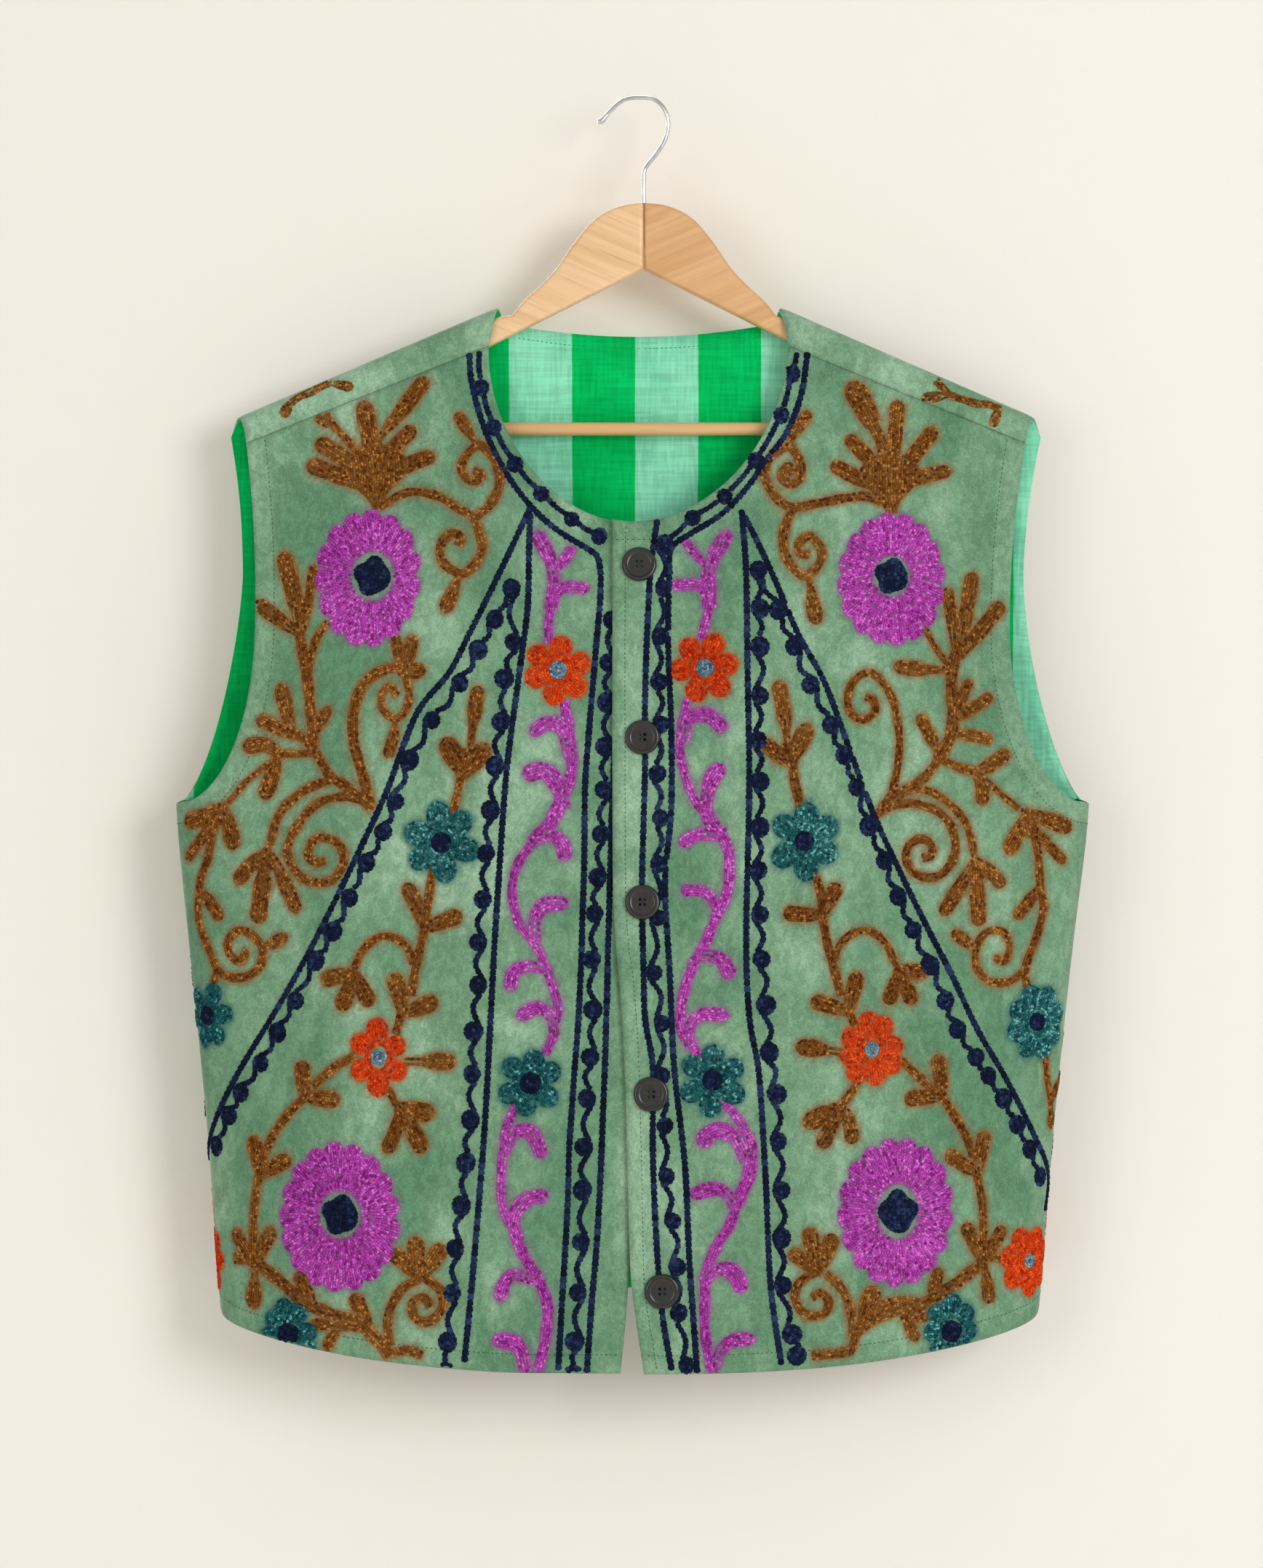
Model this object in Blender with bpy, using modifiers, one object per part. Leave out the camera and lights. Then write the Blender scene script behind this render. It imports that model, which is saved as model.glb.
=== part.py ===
"""A sleeveless velvet vest with two overlapping fronts, hung on a wooden hanger.

Metres, +Z up, +X to the viewer's right, the fronts facing -Y. The origin is the top of
the inside of the hanger's hook, where a pin or a rail carries it. Each cloth panel is a
wall between two offsets of one smooth surface, laid out on a grid between its four edges.
"""

import math

import bmesh
import bpy
from mathutils import Matrix, Vector

# Cloth and seams
VELVET = 0.0020  # wall of the velvet panels
LINING = 0.0010  # wall of the cotton lining
SEAM_GAP = 0.0003  # clear distance between two sewn pieces

# The body of the vest as level sections
SECTION_NAMES = ("height", "middle", "half_width", "front_depth", "back_depth")
BODY_SECTIONS = (
    (-0.835, -0.0042, 0.2640, 0.064, 0.029),
    (-0.785, -0.0040, 0.2672, 0.064, 0.029),
    (-0.670, -0.0036, 0.2762, 0.061, 0.029),
    (-0.560, -0.0032, 0.2874, 0.054, 0.028),
    (-0.460, -0.0022, 0.2978, 0.045, 0.027),
    (-0.350, -0.0024, 0.2990, 0.038, 0.026),
    (-0.220, 0.0000, 0.2990, 0.032, 0.024),
    (-0.120, 0.0028, 0.2990, 0.028, 0.022),
)
FRONT_ROUNDNESS = 2.5  # power of the superellipse: 2 is an ellipse, more is squarer
BACK_ROUNDNESS = 3.0
SECTION_STEPS = 60

# Shoulders, which hang over the hanger
RIDGE_HEIGHT = -0.1345  # top of the shoulder at the neck
RIDGE_SLOPE = math.tan(math.radians(23.2))
RIDGE_RADIUS = 0.0105  # of the outer face, where the cloth turns over the hanger
DRAPE_LENGTH = 0.225  # below the ridge, the cloth takes this long to fill out
SHOULDER_SEAM_HEIGHT = -0.1616  # at the neck, on the front
SHOULDER_SEAM_SLOPE = math.tan(math.radians(22.1))

# Neck, measured from the middle of the body
NECK_CORNER = 0.0900  # at the ridge
NECK_HALF_WIDTH = 0.0975  # at the shoulder seam
FRONT_NECK_HEIGHT = -0.2765
FRONT_NECK_POWER = 1.9
BACK_NECK_HEIGHT = -0.1540

# Armholes, measured from the middle of the body
UNDERARM_HEIGHT = -0.4600
FRONT_ARMHOLE = {"narrowest": 0.2447, "turn_height": -0.345, "power": 2.0, "tip": 0.2535}
BACK_ARMHOLE = {"narrowest": 0.2560, "turn_height": -0.310, "power": 1.5, "tip": 0.2650}
WRAP_SHIFT_AT_NECK = 0.0075  # the strip over the shoulder widens the neck
WRAP_SHIFT_AT_TIP = -0.0115  # and pulls in at the armhole

# Hem
FRONT_HEM_HEIGHT = -0.8240
SIDE_HEM_HEIGHT = -0.7880
BACK_HEM_HEIGHT = -0.7780
HEM_POWER = 2.6

# Front edges, as they hang. The viewer's right front lies over the left one.
EDGE_NAMES = ("height", "x")
OVER_EDGE = (
    (-0.830, 0.0060),
    (-0.790, 0.0000),
    (-0.760, -0.0035),
    (-0.690, -0.0055),
    (-0.640, -0.0068),
    (-0.585, -0.0098),
    (-0.540, -0.0136),
    (-0.500, -0.0150),
    (-0.270, -0.0152),
)
UNDER_EDGE = (
    (-0.830, -0.0108),
    (-0.800, -0.0075),
    (-0.760, -0.0045),
    (-0.640, 0.0030),
    (-0.500, 0.0100),
    (-0.270, 0.0120),
)
UNDERLAP_DROP = 0.0042  # the under front lies this far behind the over front
UNDERLAP_START = -0.075  # and starts to drop here, across from the middle
UNDERLAP_FULL = -0.035

# Soft folds: across is the distance round the cloth from the middle, a positive depth
# stands out from the body, and lean is how far the fold moves across for each metre up.
FOLD_NAMES = ("across", "height", "half_width", "half_length", "depth", "lean")
FRONT_FOLDS = (
    (-0.1330, -0.560, 0.022, 0.185, -0.0060, 0.03),
    (-0.1750, -0.600, 0.030, 0.200, 0.0055, 0.02),
    (-0.0850, -0.640, 0.030, 0.200, 0.0030, -0.05),
    (-0.2150, -0.300, 0.018, 0.095, -0.0030, 0.06),
    (-0.2450, -0.600, 0.028, 0.160, -0.0040, 0.06),
    (0.1320, -0.640, 0.030, 0.190, 0.0045, -0.04),
    (0.1750, -0.560, 0.026, 0.150, -0.0045, -0.04),
    (0.2180, -0.310, 0.018, 0.100, -0.0036, -0.05),
    (0.1650, -0.300, 0.026, 0.090, 0.0026, -0.04),
    (0.2550, -0.610, 0.026, 0.150, -0.0040, -0.05),
)
BACK_FOLDS = (
    (-0.2000, -0.560, 0.030, 0.200, -0.0050, 0.05),
    (-0.1150, -0.620, 0.032, 0.170, 0.0050, 0.03),
    (-0.0150, -0.560, 0.034, 0.240, -0.0055, 0.00),
    (0.0850, -0.640, 0.030, 0.170, 0.0045, -0.03),
    (0.1750, -0.540, 0.032, 0.210, -0.0050, -0.05),
    (0.2450, -0.660, 0.026, 0.120, 0.0035, -0.03),
)

# Grid cells of the panels
NECK_CELLS = 8
FRONT_SHOULDER_CELLS = 8
SEAM_CELLS = 14  # up the side seam
SIDE_CROWDING = 1.35  # the columns stand closer where the cloth turns round the side
ARMHOLE_CELLS = 12
BACK_SHOULDER_CELLS = 8
BACK_NECK_CELLS = 8
RIDGE_CELLS = 6
WRAP_CELLS = 2  # from the ridge down to the shoulder seam

# Buttons, sewn on the over front
BUTTON_PLACES = (
    (0.0020, -0.3050),
    (0.0041, -0.4167),
    (0.0041, -0.5226),
    (0.0096, -0.6452),
    (0.0167, -0.7708),
)
BUTTON_RADIUS = 0.01125
BUTTON_HEIGHT = 0.0034
BUTTON_HOLE_RADIUS = 0.0010
BUTTON_HOLE_SPACING = 0.0032
BUTTON_SIDES = 20
BUTTON_CLEARANCE = 0.0005

# Hanger: height above the origin of its outline, and distance from its own middle
HANGER_MIDDLE = 0.0052
HANGER_THICKNESS = 0.0110
HANGER_EDGE_ROUND = 0.0020
HANGER_UNDER_CLOTH = 0.0065  # its top edge lies this far under the shoulder's ridge
HANGER_SHOULDER_START = 0.0860
HANGER_END = 0.2240
HANGER_TOP = (
    (0.0000, -0.0676),
    (0.0124, -0.0689),
    (0.0240, -0.0730),
    (0.0327, -0.0788),
    (0.0400, -0.0868),
    (0.0473, -0.0962),
    (0.0531, -0.1050),
    (0.0603, -0.1143),
    (0.0690, -0.1230),
    (0.0765, -0.1296),
    (0.0818, -0.1352),
)
HANGER_TIP = (
    (0.2300, -0.2040),
    (0.2325, -0.2130),
    (0.2305, -0.2220),
    (0.2240, -0.2262),
    (0.2180, -0.2244),
)
HANGER_BOTTOM = ((0.2050, -0.2136), (0.0000, -0.1112))
BAR_HEIGHT = -0.2150
BAR_RADIUS = 0.0043
BAR_HALF_LENGTH = 0.2220
BAR_SIDES = 16

# Hook: the middle of its wire, from the stem's lower end to the tip
WIRE_RADIUS = 0.0013
HOOK_TIP_RADIUS = 0.0019
STEM_BOTTOM = -0.0960
STEM_HOLE_CLEARANCE = 0.0003
HOOK_PATH = (
    (0.0052, STEM_BOTTOM),
    (0.0052, -0.0700),
    (0.0053, -0.0490),
    (0.0072, -0.0432),
    (0.0124, -0.0366),
    (0.0186, -0.0270),
    (0.0212, -0.0165),
    (0.0190, -0.0068),
    (0.0122, 0.0000),
    (0.0025, 0.0013),
    (-0.0055, 0.0006),
    (-0.0112, -0.0022),
    (-0.0162, -0.0068),
    (-0.0203, -0.0115),
    (-0.0226, -0.0139),
    (-0.0250, -0.0144),
)
HOOK_STEPS_BETWEEN = 3

VELVET_GREEN = (0.24, 0.43, 0.28, 1.0)
LINING_GREEN = (0.10, 0.50, 0.24, 1.0)
BUTTON_BLACK = (0.012, 0.011, 0.010, 1.0)
BEECH = (0.72, 0.46, 0.22, 1.0)
STEEL = (0.62, 0.62, 0.63, 1.0)


def smooth_step(value):
    value = min(1.0, max(0.0, value))
    return value * value * (3 - 2 * value)


def read_table(table, key, column):
    """The value of a column at key, on a smooth curve through the table's rows."""
    rows = sorted(table)
    if key <= rows[0][0]:
        return rows[0][column]
    if key >= rows[-1][0]:
        return rows[-1][column]
    i = max(n for n, row in enumerate(rows) if row[0] <= key)
    span = rows[i + 1][0] - rows[i][0]

    def slope(n):
        low, high = rows[max(n - 1, 0)], rows[min(n + 1, len(rows) - 1)]
        return (high[column] - low[column]) / (high[0] - low[0])

    t = (key - rows[i][0]) / span
    start, end = rows[i][column], rows[i + 1][column]
    return (
        start * (2 * t**3 - 3 * t**2 + 1)
        + slope(i) * span * (t**3 - 2 * t**2 + t)
        + end * (3 * t**2 - 2 * t**3)
        + slope(i + 1) * span * (t**3 - t**2)
    )


def body(height, name):
    return read_table(BODY_SECTIONS, height, SECTION_NAMES.index(name))


def quarter_section(height, facing):
    """Half of a level section, from the middle to the side, as (arc length, angle) rows."""
    half_width = body(height, "half_width")
    depth = body(height, f"{facing}_depth")
    power = 2 / (FRONT_ROUNDNESS if facing == "front" else BACK_ROUNDNESS)
    rows, last, length = [], None, 0.0
    for step in range(SECTION_STEPS + 1):
        angle = step / SECTION_STEPS * math.pi / 2
        point = Vector((half_width * math.sin(angle) ** power, depth * abs(math.cos(angle)) ** power))
        length += (point - last).length if last else 0.0
        rows.append((length, angle))
        last = point
    return rows


def interpolate(rows, key, source, target):
    """Reads one column of rows at the place where another column is key."""
    for low, high in zip(rows, rows[1:]):
        if key <= high[source]:
            share = (key - low[source]) / (high[source] - low[source])
            return low[target] + share * (high[target] - low[target])
    return rows[-1][target]


def side_length(height, facing):
    return quarter_section(height, facing)[-1][0]


def across_from_x(offset, height, facing):
    """The distance round the cloth of a point this far from the middle, seen from the front."""
    power = 2 / (FRONT_ROUNDNESS if facing == "front" else BACK_ROUNDNESS)
    share = min(1.0, abs(offset) / body(height, "half_width"))
    angle = math.asin(share ** (1 / power))
    return math.copysign(interpolate(quarter_section(height, facing), angle, 1, 0), offset)


def ridge_height(offset):
    """The top of the shoulder, this far from the middle."""
    return RIDGE_HEIGHT - RIDGE_SLOPE * max(0.0, abs(offset) - NECK_CORNER)


def shoulder_seam_height(offset):
    return SHOULDER_SEAM_HEIGHT - SHOULDER_SEAM_SLOPE * (abs(offset) - NECK_HALF_WIDTH)


def fold_depth(folds, across, height):
    total = 0.0
    for fold in folds:
        row = dict(zip(FOLD_NAMES, fold))
        up = (height - row["height"]) / row["half_length"]
        middle = row["across"] + row["lean"] * (height - row["height"])
        side = (across - middle) / row["half_width"]
        total += row["depth"] * math.exp(-side * side) * smooth_step(1.25 - abs(up))
    return total


def cloth_point(across, height, facing):
    """A point of the garment's outer face, this far round from the middle."""
    rows = quarter_section(height, facing)
    angle = interpolate(rows, min(abs(across), rows[-1][0]), 0, 1)
    power = 2 / (FRONT_ROUNDNESS if facing == "front" else BACK_ROUNDNESS)
    offset = math.copysign(body(height, "half_width") * math.sin(angle) ** power, across)
    fullness = abs(math.cos(angle)) ** power
    drape = smooth_step((ridge_height(offset) - height) / DRAPE_LENGTH)
    depth = body(height, f"{facing}_depth") * drape * fullness + RIDGE_RADIUS * (1 - drape)
    folds = FRONT_FOLDS if facing == "front" else BACK_FOLDS
    fold = fold_depth(folds, across, height)
    depth += fold * smooth_step(1.6 * fullness) * smooth_step(2.5 * drape)
    y = -depth if facing == "front" else depth
    return Vector((body(height, "middle") + offset, y, height))


def cloth_frame(across, height, facing, drop=0.0):
    """(point, outward normal) on the cloth, the point moved in by drop."""
    small = 0.0004
    edge = side_length(height, facing)
    low, high = max(across - small, -edge), min(across + small, edge)
    along = cloth_point(high, height, facing) - cloth_point(low, height, facing)
    up = cloth_point(across, height + small, facing) - cloth_point(across, height - small, facing)
    normal = along.cross(up).normalized()
    if facing == "back":
        normal.negate()
    return cloth_point(across, height, facing) - normal * drop, normal


def spaced(points, cells, crowding=1.0):
    """The points of a line, spaced along it and closer towards its end, as cells + 1 points."""
    lengths = [0.0]
    for a, b in zip(points, points[1:]):
        lengths.append(lengths[-1] + (Vector(b) - Vector(a)).length)
    result, i = [], 0
    for cell in range(cells + 1):
        target = lengths[-1] * (1 - (1 - cell / cells) ** crowding)
        while i < len(points) - 2 and lengths[i + 1] < target:
            i += 1
        share = (target - lengths[i]) / (lengths[i + 1] - lengths[i])
        result.append(Vector(points[i]).lerp(Vector(points[i + 1]), share))
    return result


def filled_grid(bottom, top, left, right):
    """A grid of points between four edges, as rows from the bottom up."""
    columns, rows = len(bottom) - 1, len(left) - 1
    grid = []
    for j in range(rows + 1):
        v = j / rows
        row = []
        for i in range(columns + 1):
            u = i / columns
            corners = (1 - u) * (1 - v) * bottom[0] + u * (1 - v) * bottom[-1]
            corners += (1 - u) * v * top[0] + u * v * top[-1]
            row.append((1 - v) * bottom[i] + v * top[i] + (1 - u) * left[j] + u * right[j] - corners)
        grid.append(row)
    return grid


def armhole_line(shape, underarm, tip_height, steps=40):
    """An armhole's edge from the underarm to the shoulder, as (offset, height) points."""
    half_width = body(UNDERARM_HEIGHT, "half_width")
    reach, fall = half_width - shape["narrowest"], shape["turn_height"] - underarm
    power = 2 / shape["power"]
    points = []
    for step in range(steps + 1):
        angle = math.pi / 2 * (1 - step / steps)
        offset = half_width - reach * math.cos(angle) ** power
        points.append((offset, shape["turn_height"] - fall * math.sin(angle) ** power))
    for step in range(1, steps + 1):
        t = step / steps
        offset = shape["narrowest"] + (shape["tip"] - shape["narrowest"]) * t * t
        points.append((offset, shape["turn_height"] + (tip_height - shape["turn_height"]) * t))
    return points


def side_edge(facing, hem_height, shape, tip_height, gap):
    """A panel's side seam and armhole, in (across, height), with the cells that they take."""
    seam = []
    for step in range(SEAM_CELLS + 1):
        height = hem_height + (UNDERARM_HEIGHT - hem_height) * step / SEAM_CELLS
        seam.append((side_length(height, facing) - gap, height))
    armhole = []
    for offset, height in armhole_line(shape, UNDERARM_HEIGHT, tip_height):
        armhole.append((across_from_x(offset, height, facing), height))
    armhole[0] = seam[-1]
    return spaced(seam, SEAM_CELLS)[:-1] + spaced(armhole, ARMHOLE_CELLS)


def front_grid(side, edge_table):
    """The flat grid of one front, in (across, height), mirrored to its side."""

    def edge_across(height):
        offset = read_table(edge_table, height, EDGE_NAMES.index("x")) - body(height, "middle")
        return side * across_from_x(offset, height, "front")

    seam = SEAM_GAP / 2
    hem_edge = edge_across(FRONT_HEM_HEIGHT)
    hem_side = side_length(SIDE_HEM_HEIGHT, "front") - seam
    bottom = []
    for step in range(41):
        across = hem_edge + (hem_side - hem_edge) * step / 40
        rise = (SIDE_HEM_HEIGHT - FRONT_HEM_HEIGHT) * (abs(across) / hem_side) ** HEM_POWER
        bottom.append((across, FRONT_HEM_HEIGHT + rise))

    neck_edge = read_table(edge_table, FRONT_NECK_HEIGHT, EDGE_NAMES.index("x"))
    start = side * (neck_edge - body(FRONT_NECK_HEIGHT, "middle")) / NECK_HALF_WIDTH
    neck = []
    for step in range(41):
        share = math.sin(math.asin(start) + (math.pi / 2 - math.asin(start)) * step / 40)
        fall = (1 - abs(share) ** FRONT_NECK_POWER) ** (1 / FRONT_NECK_POWER)
        height = SHOULDER_SEAM_HEIGHT + (FRONT_NECK_HEIGHT - SHOULDER_SEAM_HEIGHT) * fall
        neck.append((across_from_x(NECK_HALF_WIDTH * share, height, "front"), height - SEAM_GAP))
    shoulder = []
    for step in range(21):
        offset = NECK_HALF_WIDTH + (FRONT_ARMHOLE["tip"] - NECK_HALF_WIDTH) * step / 20
        height = shoulder_seam_height(offset) - SEAM_GAP
        shoulder.append((across_from_x(offset, height, "front"), height))
    top = spaced(neck, NECK_CELLS)[:-1] + spaced(shoulder, FRONT_SHOULDER_CELLS)

    rows = SEAM_CELLS + ARMHOLE_CELLS
    low, high = bottom[0][1], top[0].y
    heights = [low + (high - low) * n / rows for n in range(rows + 1)]
    left = [Vector((edge_across(height), height)) for height in heights]
    left[0], left[-1] = Vector(bottom[0]), top[0]
    tip_height = shoulder_seam_height(FRONT_ARMHOLE["tip"]) - SEAM_GAP
    right = side_edge("front", SIDE_HEM_HEIGHT, FRONT_ARMHOLE, tip_height, seam)
    right[-1] = top[-1]
    columns = NECK_CELLS + FRONT_SHOULDER_CELLS
    return filled_grid(spaced(bottom, columns, SIDE_CROWDING), top, left, right)


def front_drop(across, side):
    """How far the under front lies behind the over one."""
    if side > 0:
        return 0.0
    span = UNDERLAP_FULL - UNDERLAP_START
    return UNDERLAP_DROP * smooth_step((across - UNDERLAP_START) / span)


def front_frames(side, edge_table):
    frames = []
    for row in front_grid(side, edge_table):
        line = []
        for point in row:
            across = side * point.x
            line.append(cloth_frame(across, point.y, "front", front_drop(across, side)))
        frames.append(line)
    return frames


def back_grid():
    """The flat grid of the back up to the ridge and the neck, in (across, height)."""
    seam = SEAM_GAP / 2
    side = side_edge(
        "back",
        SIDE_HEM_HEIGHT,
        BACK_ARMHOLE,
        ridge_height(BACK_ARMHOLE["tip"]) - RIDGE_RADIUS,
        seam,
    )
    columns = 2 * BACK_SHOULDER_CELLS + BACK_NECK_CELLS
    reach = side[0].x
    bottom = []
    for step in range(columns + 1):
        share = 2 * step / columns - 1
        across = math.copysign(reach * (1 - (1 - abs(share)) ** SIDE_CROWDING), share)
        rise = (SIDE_HEM_HEIGHT - BACK_HEM_HEIGHT) * (abs(across) / reach) ** HEM_POWER
        bottom.append(Vector((across, BACK_HEM_HEIGHT + rise)))

    def top_point(offset, height):
        return (across_from_x(offset, height, "back"), height)

    corner_height = ridge_height(NECK_CORNER) - RIDGE_RADIUS
    neck = []
    for step in range(-20, 21):
        share = step / 20
        height = BACK_NECK_HEIGHT + (corner_height - BACK_NECK_HEIGHT) * share * share
        neck.append(top_point(NECK_CORNER * share, height))
    shoulder = []
    for step in range(21):
        offset = NECK_CORNER + (BACK_ARMHOLE["tip"] - NECK_CORNER) * step / 20
        shoulder.append(top_point(offset, ridge_height(offset) - RIDGE_RADIUS))
    right_top = spaced(shoulder, BACK_SHOULDER_CELLS)
    left_top = [Vector((-p.x, p.y)) for p in reversed(right_top)]
    top = left_top[:-1] + spaced(neck, BACK_NECK_CELLS)[:-1] + right_top
    right = side
    right[-1] = top[-1]
    left = [Vector((-p.x, p.y)) for p in right]
    return filled_grid(bottom, top, left, right)


def wrap_frames(offset, start_height):
    """A column of the back that turns over the ridge and ends at the shoulder seam."""
    middle = body(start_height, "middle")
    outward = math.copysign(1.0, offset)
    t = (abs(offset) - NECK_CORNER) / (BACK_ARMHOLE["tip"] - NECK_CORNER)
    shift = outward * (WRAP_SHIFT_AT_NECK * (1 - t) + WRAP_SHIFT_AT_TIP * t)
    seam_height = shoulder_seam_height(offset + shift)
    arc = math.pi * RIDGE_RADIUS
    total = arc + start_height - seam_height
    frames = []
    for step in range(1, RIDGE_CELLS + 1):
        angle = math.pi * step / RIDGE_CELLS
        place = offset + shift * arc / total * step / RIDGE_CELLS
        slope = Vector((outward * RIDGE_SLOPE * math.sin(angle), math.cos(angle), math.sin(angle)))
        base = start_height + ridge_height(place) - ridge_height(offset)
        y, z = RIDGE_RADIUS * math.cos(angle), base + RIDGE_RADIUS * math.sin(angle)
        frames.append((Vector((middle + place, y, z)), slope.normalized()))
    for step in range(1, WRAP_CELLS + 1):
        share = step / WRAP_CELLS
        place = offset + shift * (arc + (total - arc) * share) / total
        height = base + (seam_height - base) * share
        across = across_from_x(place, height, "front")
        frames.append(cloth_frame(across, height, "front"))
    return frames


def back_frames():
    """The back's points and normals, as columns of different lengths from the hem up."""
    grid = back_grid()
    columns = []
    for i in range(len(grid[0])):
        column = [cloth_frame(row[i].x, row[i].y, "back") for row in grid]
        in_neck = BACK_SHOULDER_CELLS < i < BACK_SHOULDER_CELLS + BACK_NECK_CELLS
        if not in_neck:
            top = column[-1][0]
            offset = top.x - body(top.z, "middle")
            column += wrap_frames(offset, top.z)
        columns.append(column)
    return columns


def as_columns(rows):
    return [[row[i] for row in rows] for i in range(len(rows[0]))]


def new_material(name, colour, roughness, metallic=0.0):
    material = bpy.data.materials.get(name) or bpy.data.materials.new(name)
    material.use_nodes = True
    shader = material.node_tree.nodes["Principled BSDF"]
    shader.inputs["Base Color"].default_value = colour
    shader.inputs["Roughness"].default_value = roughness
    shader.inputs["Metallic"].default_value = metallic
    return material


def add_object(name, mesh, collection, material):
    obj = bpy.data.objects.new(name, mesh)
    collection.objects.link(obj)
    mesh.materials.append(material)
    return obj


def cloth_wall(name, columns, drop, thickness, collection, material, flip):
    """A closed wall between two offsets of the grid's points, inward from the outer face."""
    mesh = bmesh.new()
    faces = []
    layers = []
    for depth in (drop, drop + thickness):
        layer = []
        for column in columns:
            layer.append([mesh.verts.new(point - normal * depth) for point, normal in column])
        layers.append(layer)
    outer, inner = layers
    last = len(columns) // 2
    for i in range(len(columns) - 1):
        for j in range(min(len(columns[i]), len(columns[i + 1])) - 1):
            corners = ((i, j), (i + 1, j), (i + 1, j + 1), (i, j + 1))
            start = 0 if i < last else 1
            turned = corners[start:] + corners[:start]
            for pick in ((0, 1, 2), (0, 2, 3)):
                faces.append(tuple(turned[n] for n in pick))
    used = {}
    for face in faces:
        for a, b in zip(face, face[1:] + face[:1]):
            used[(a, b)] = used.get((a, b), 0) + 1
        mesh.faces.new([outer[i][j] for i, j in face])
        mesh.faces.new([inner[i][j] for i, j in reversed(face)])
    for a, b in used:
        if (b, a) not in used:
            quad = [outer[b[0]][b[1]], outer[a[0]][a[1]], inner[a[0]][a[1]], inner[b[0]][b[1]]]
            mesh.faces.new(quad)
    if flip:
        bmesh.ops.reverse_faces(mesh, faces=mesh.faces)
    data = bpy.data.meshes.new(name)
    mesh.to_mesh(data)
    mesh.free()
    data.shade_smooth()
    data.set_sharp_from_angle(angle=math.radians(50))
    return add_object(name, data, collection, material)


def make_panels(collection):
    velvet = new_material("velvet", VELVET_GREEN, 0.9)
    cotton = new_material("lining_cotton", LINING_GREEN, 0.8)
    under = as_columns(front_frames(-1, UNDER_EDGE))
    over = as_columns(front_frames(1, OVER_EDGE))
    cloth_wall("front_right", under, 0.0, VELVET, collection, velvet, True)
    cloth_wall("front_left", over, 0.0, VELVET, collection, velvet, False)
    back = back_frames()
    cloth_wall("back", back, 0.0, VELVET, collection, velvet, True)
    drop = VELVET + SEAM_GAP
    cloth_wall("back_lining", back, drop, LINING, collection, cotton, True)


def screw_profile(name, profile, sides, collection, material):
    """A turned solid from (radius, height) points that run down its outer side."""
    mesh = bpy.data.meshes.new(name)
    points = [(radius, 0.0, height) for radius, height in profile]
    mesh.from_pydata(points, [(n, n + 1) for n in range(len(points) - 1)], [])
    obj = add_object(name, mesh, collection, material)
    screw = obj.modifiers.new("Turn", "SCREW")
    screw.steps = sides
    screw.render_steps = sides
    screw.use_merge_vertices = True
    screw.merge_threshold = 0.00001
    return obj


def evaluated_copy(obj, name, collection, material):
    """The object as a plain mesh, its modifiers applied and its caps welded."""
    graph = bpy.context.evaluated_depsgraph_get()
    mesh = bpy.data.meshes.new_from_object(obj.evaluated_get(graph))
    edit = bmesh.new()
    edit.from_mesh(mesh)
    bmesh.ops.remove_doubles(edit, verts=edit.verts, dist=0.00001)
    edit.to_mesh(mesh)
    edit.free()
    mesh.name = name
    world = obj.matrix_world.copy()
    bpy.data.objects.remove(obj)
    mesh.materials.clear()
    made = add_object(name, mesh, collection, material)
    made.matrix_world = world
    return made


def add_cylinder(name, radius, length, sides, collection):
    """A cylinder along its own Z, centred on its origin."""
    bpy.ops.mesh.primitive_cylinder_add(vertices=sides, radius=radius, depth=length)
    obj = bpy.context.object
    obj.name = name
    for owner in list(obj.users_collection):
        owner.objects.unlink(obj)
    collection.objects.link(obj)
    return obj


def cut(obj, cutter):
    cutter.hide_render = True
    cutter.display_type = "WIRE"
    modifier = obj.modifiers.new(f"Cut {cutter.name}", "BOOLEAN")
    modifier.operation = "DIFFERENCE"
    modifier.solver = "EXACT"
    modifier.object = cutter


def make_buttons(collection, cutters):
    """Four-hole buttons with a raised rim, each square to the cloth under it."""
    plastic = new_material("button_plastic", BUTTON_BLACK, 0.25)
    edge, rim = BUTTON_RADIUS, 0.0021
    profile = (
        (0.0, 0.66 * BUTTON_HEIGHT),
        (edge - 2.1 * rim, 0.60 * BUTTON_HEIGHT),
        (edge - 1.25 * rim, 0.72 * BUTTON_HEIGHT),
        (edge - 0.75 * rim, BUTTON_HEIGHT),
        (edge - 0.20 * rim, 0.88 * BUTTON_HEIGHT),
        (edge, 0.45 * BUTTON_HEIGHT),
        (edge - 1.6 * rim, 0.0),
        (0.0, 0.0),
    )
    for number, (x, height) in enumerate(BUTTON_PLACES, 1):
        across = across_from_x(x - body(height, "middle"), height, "front")
        point, normal = cloth_frame(across, height, "front")
        turn = normal.to_track_quat("Z", "Y").to_matrix().to_4x4()
        place = Matrix.Translation(point + normal * BUTTON_CLEARANCE) @ turn
        button = screw_profile(f"button_{number}", profile, BUTTON_SIDES, collection, plastic)
        button.matrix_world = place
        for hole, (right, up) in enumerate(((1, 1), (-1, 1), (-1, -1), (1, -1)), 1):
            cutter = add_cylinder(f"button_{number}_hole_{hole}", BUTTON_HOLE_RADIUS, 0.02, 8, cutters)
            half = BUTTON_HOLE_SPACING / 2
            cutter.matrix_world = place @ Matrix.Translation((right * half, up * half, 0.0))
            cut(button, cutter)


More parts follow.
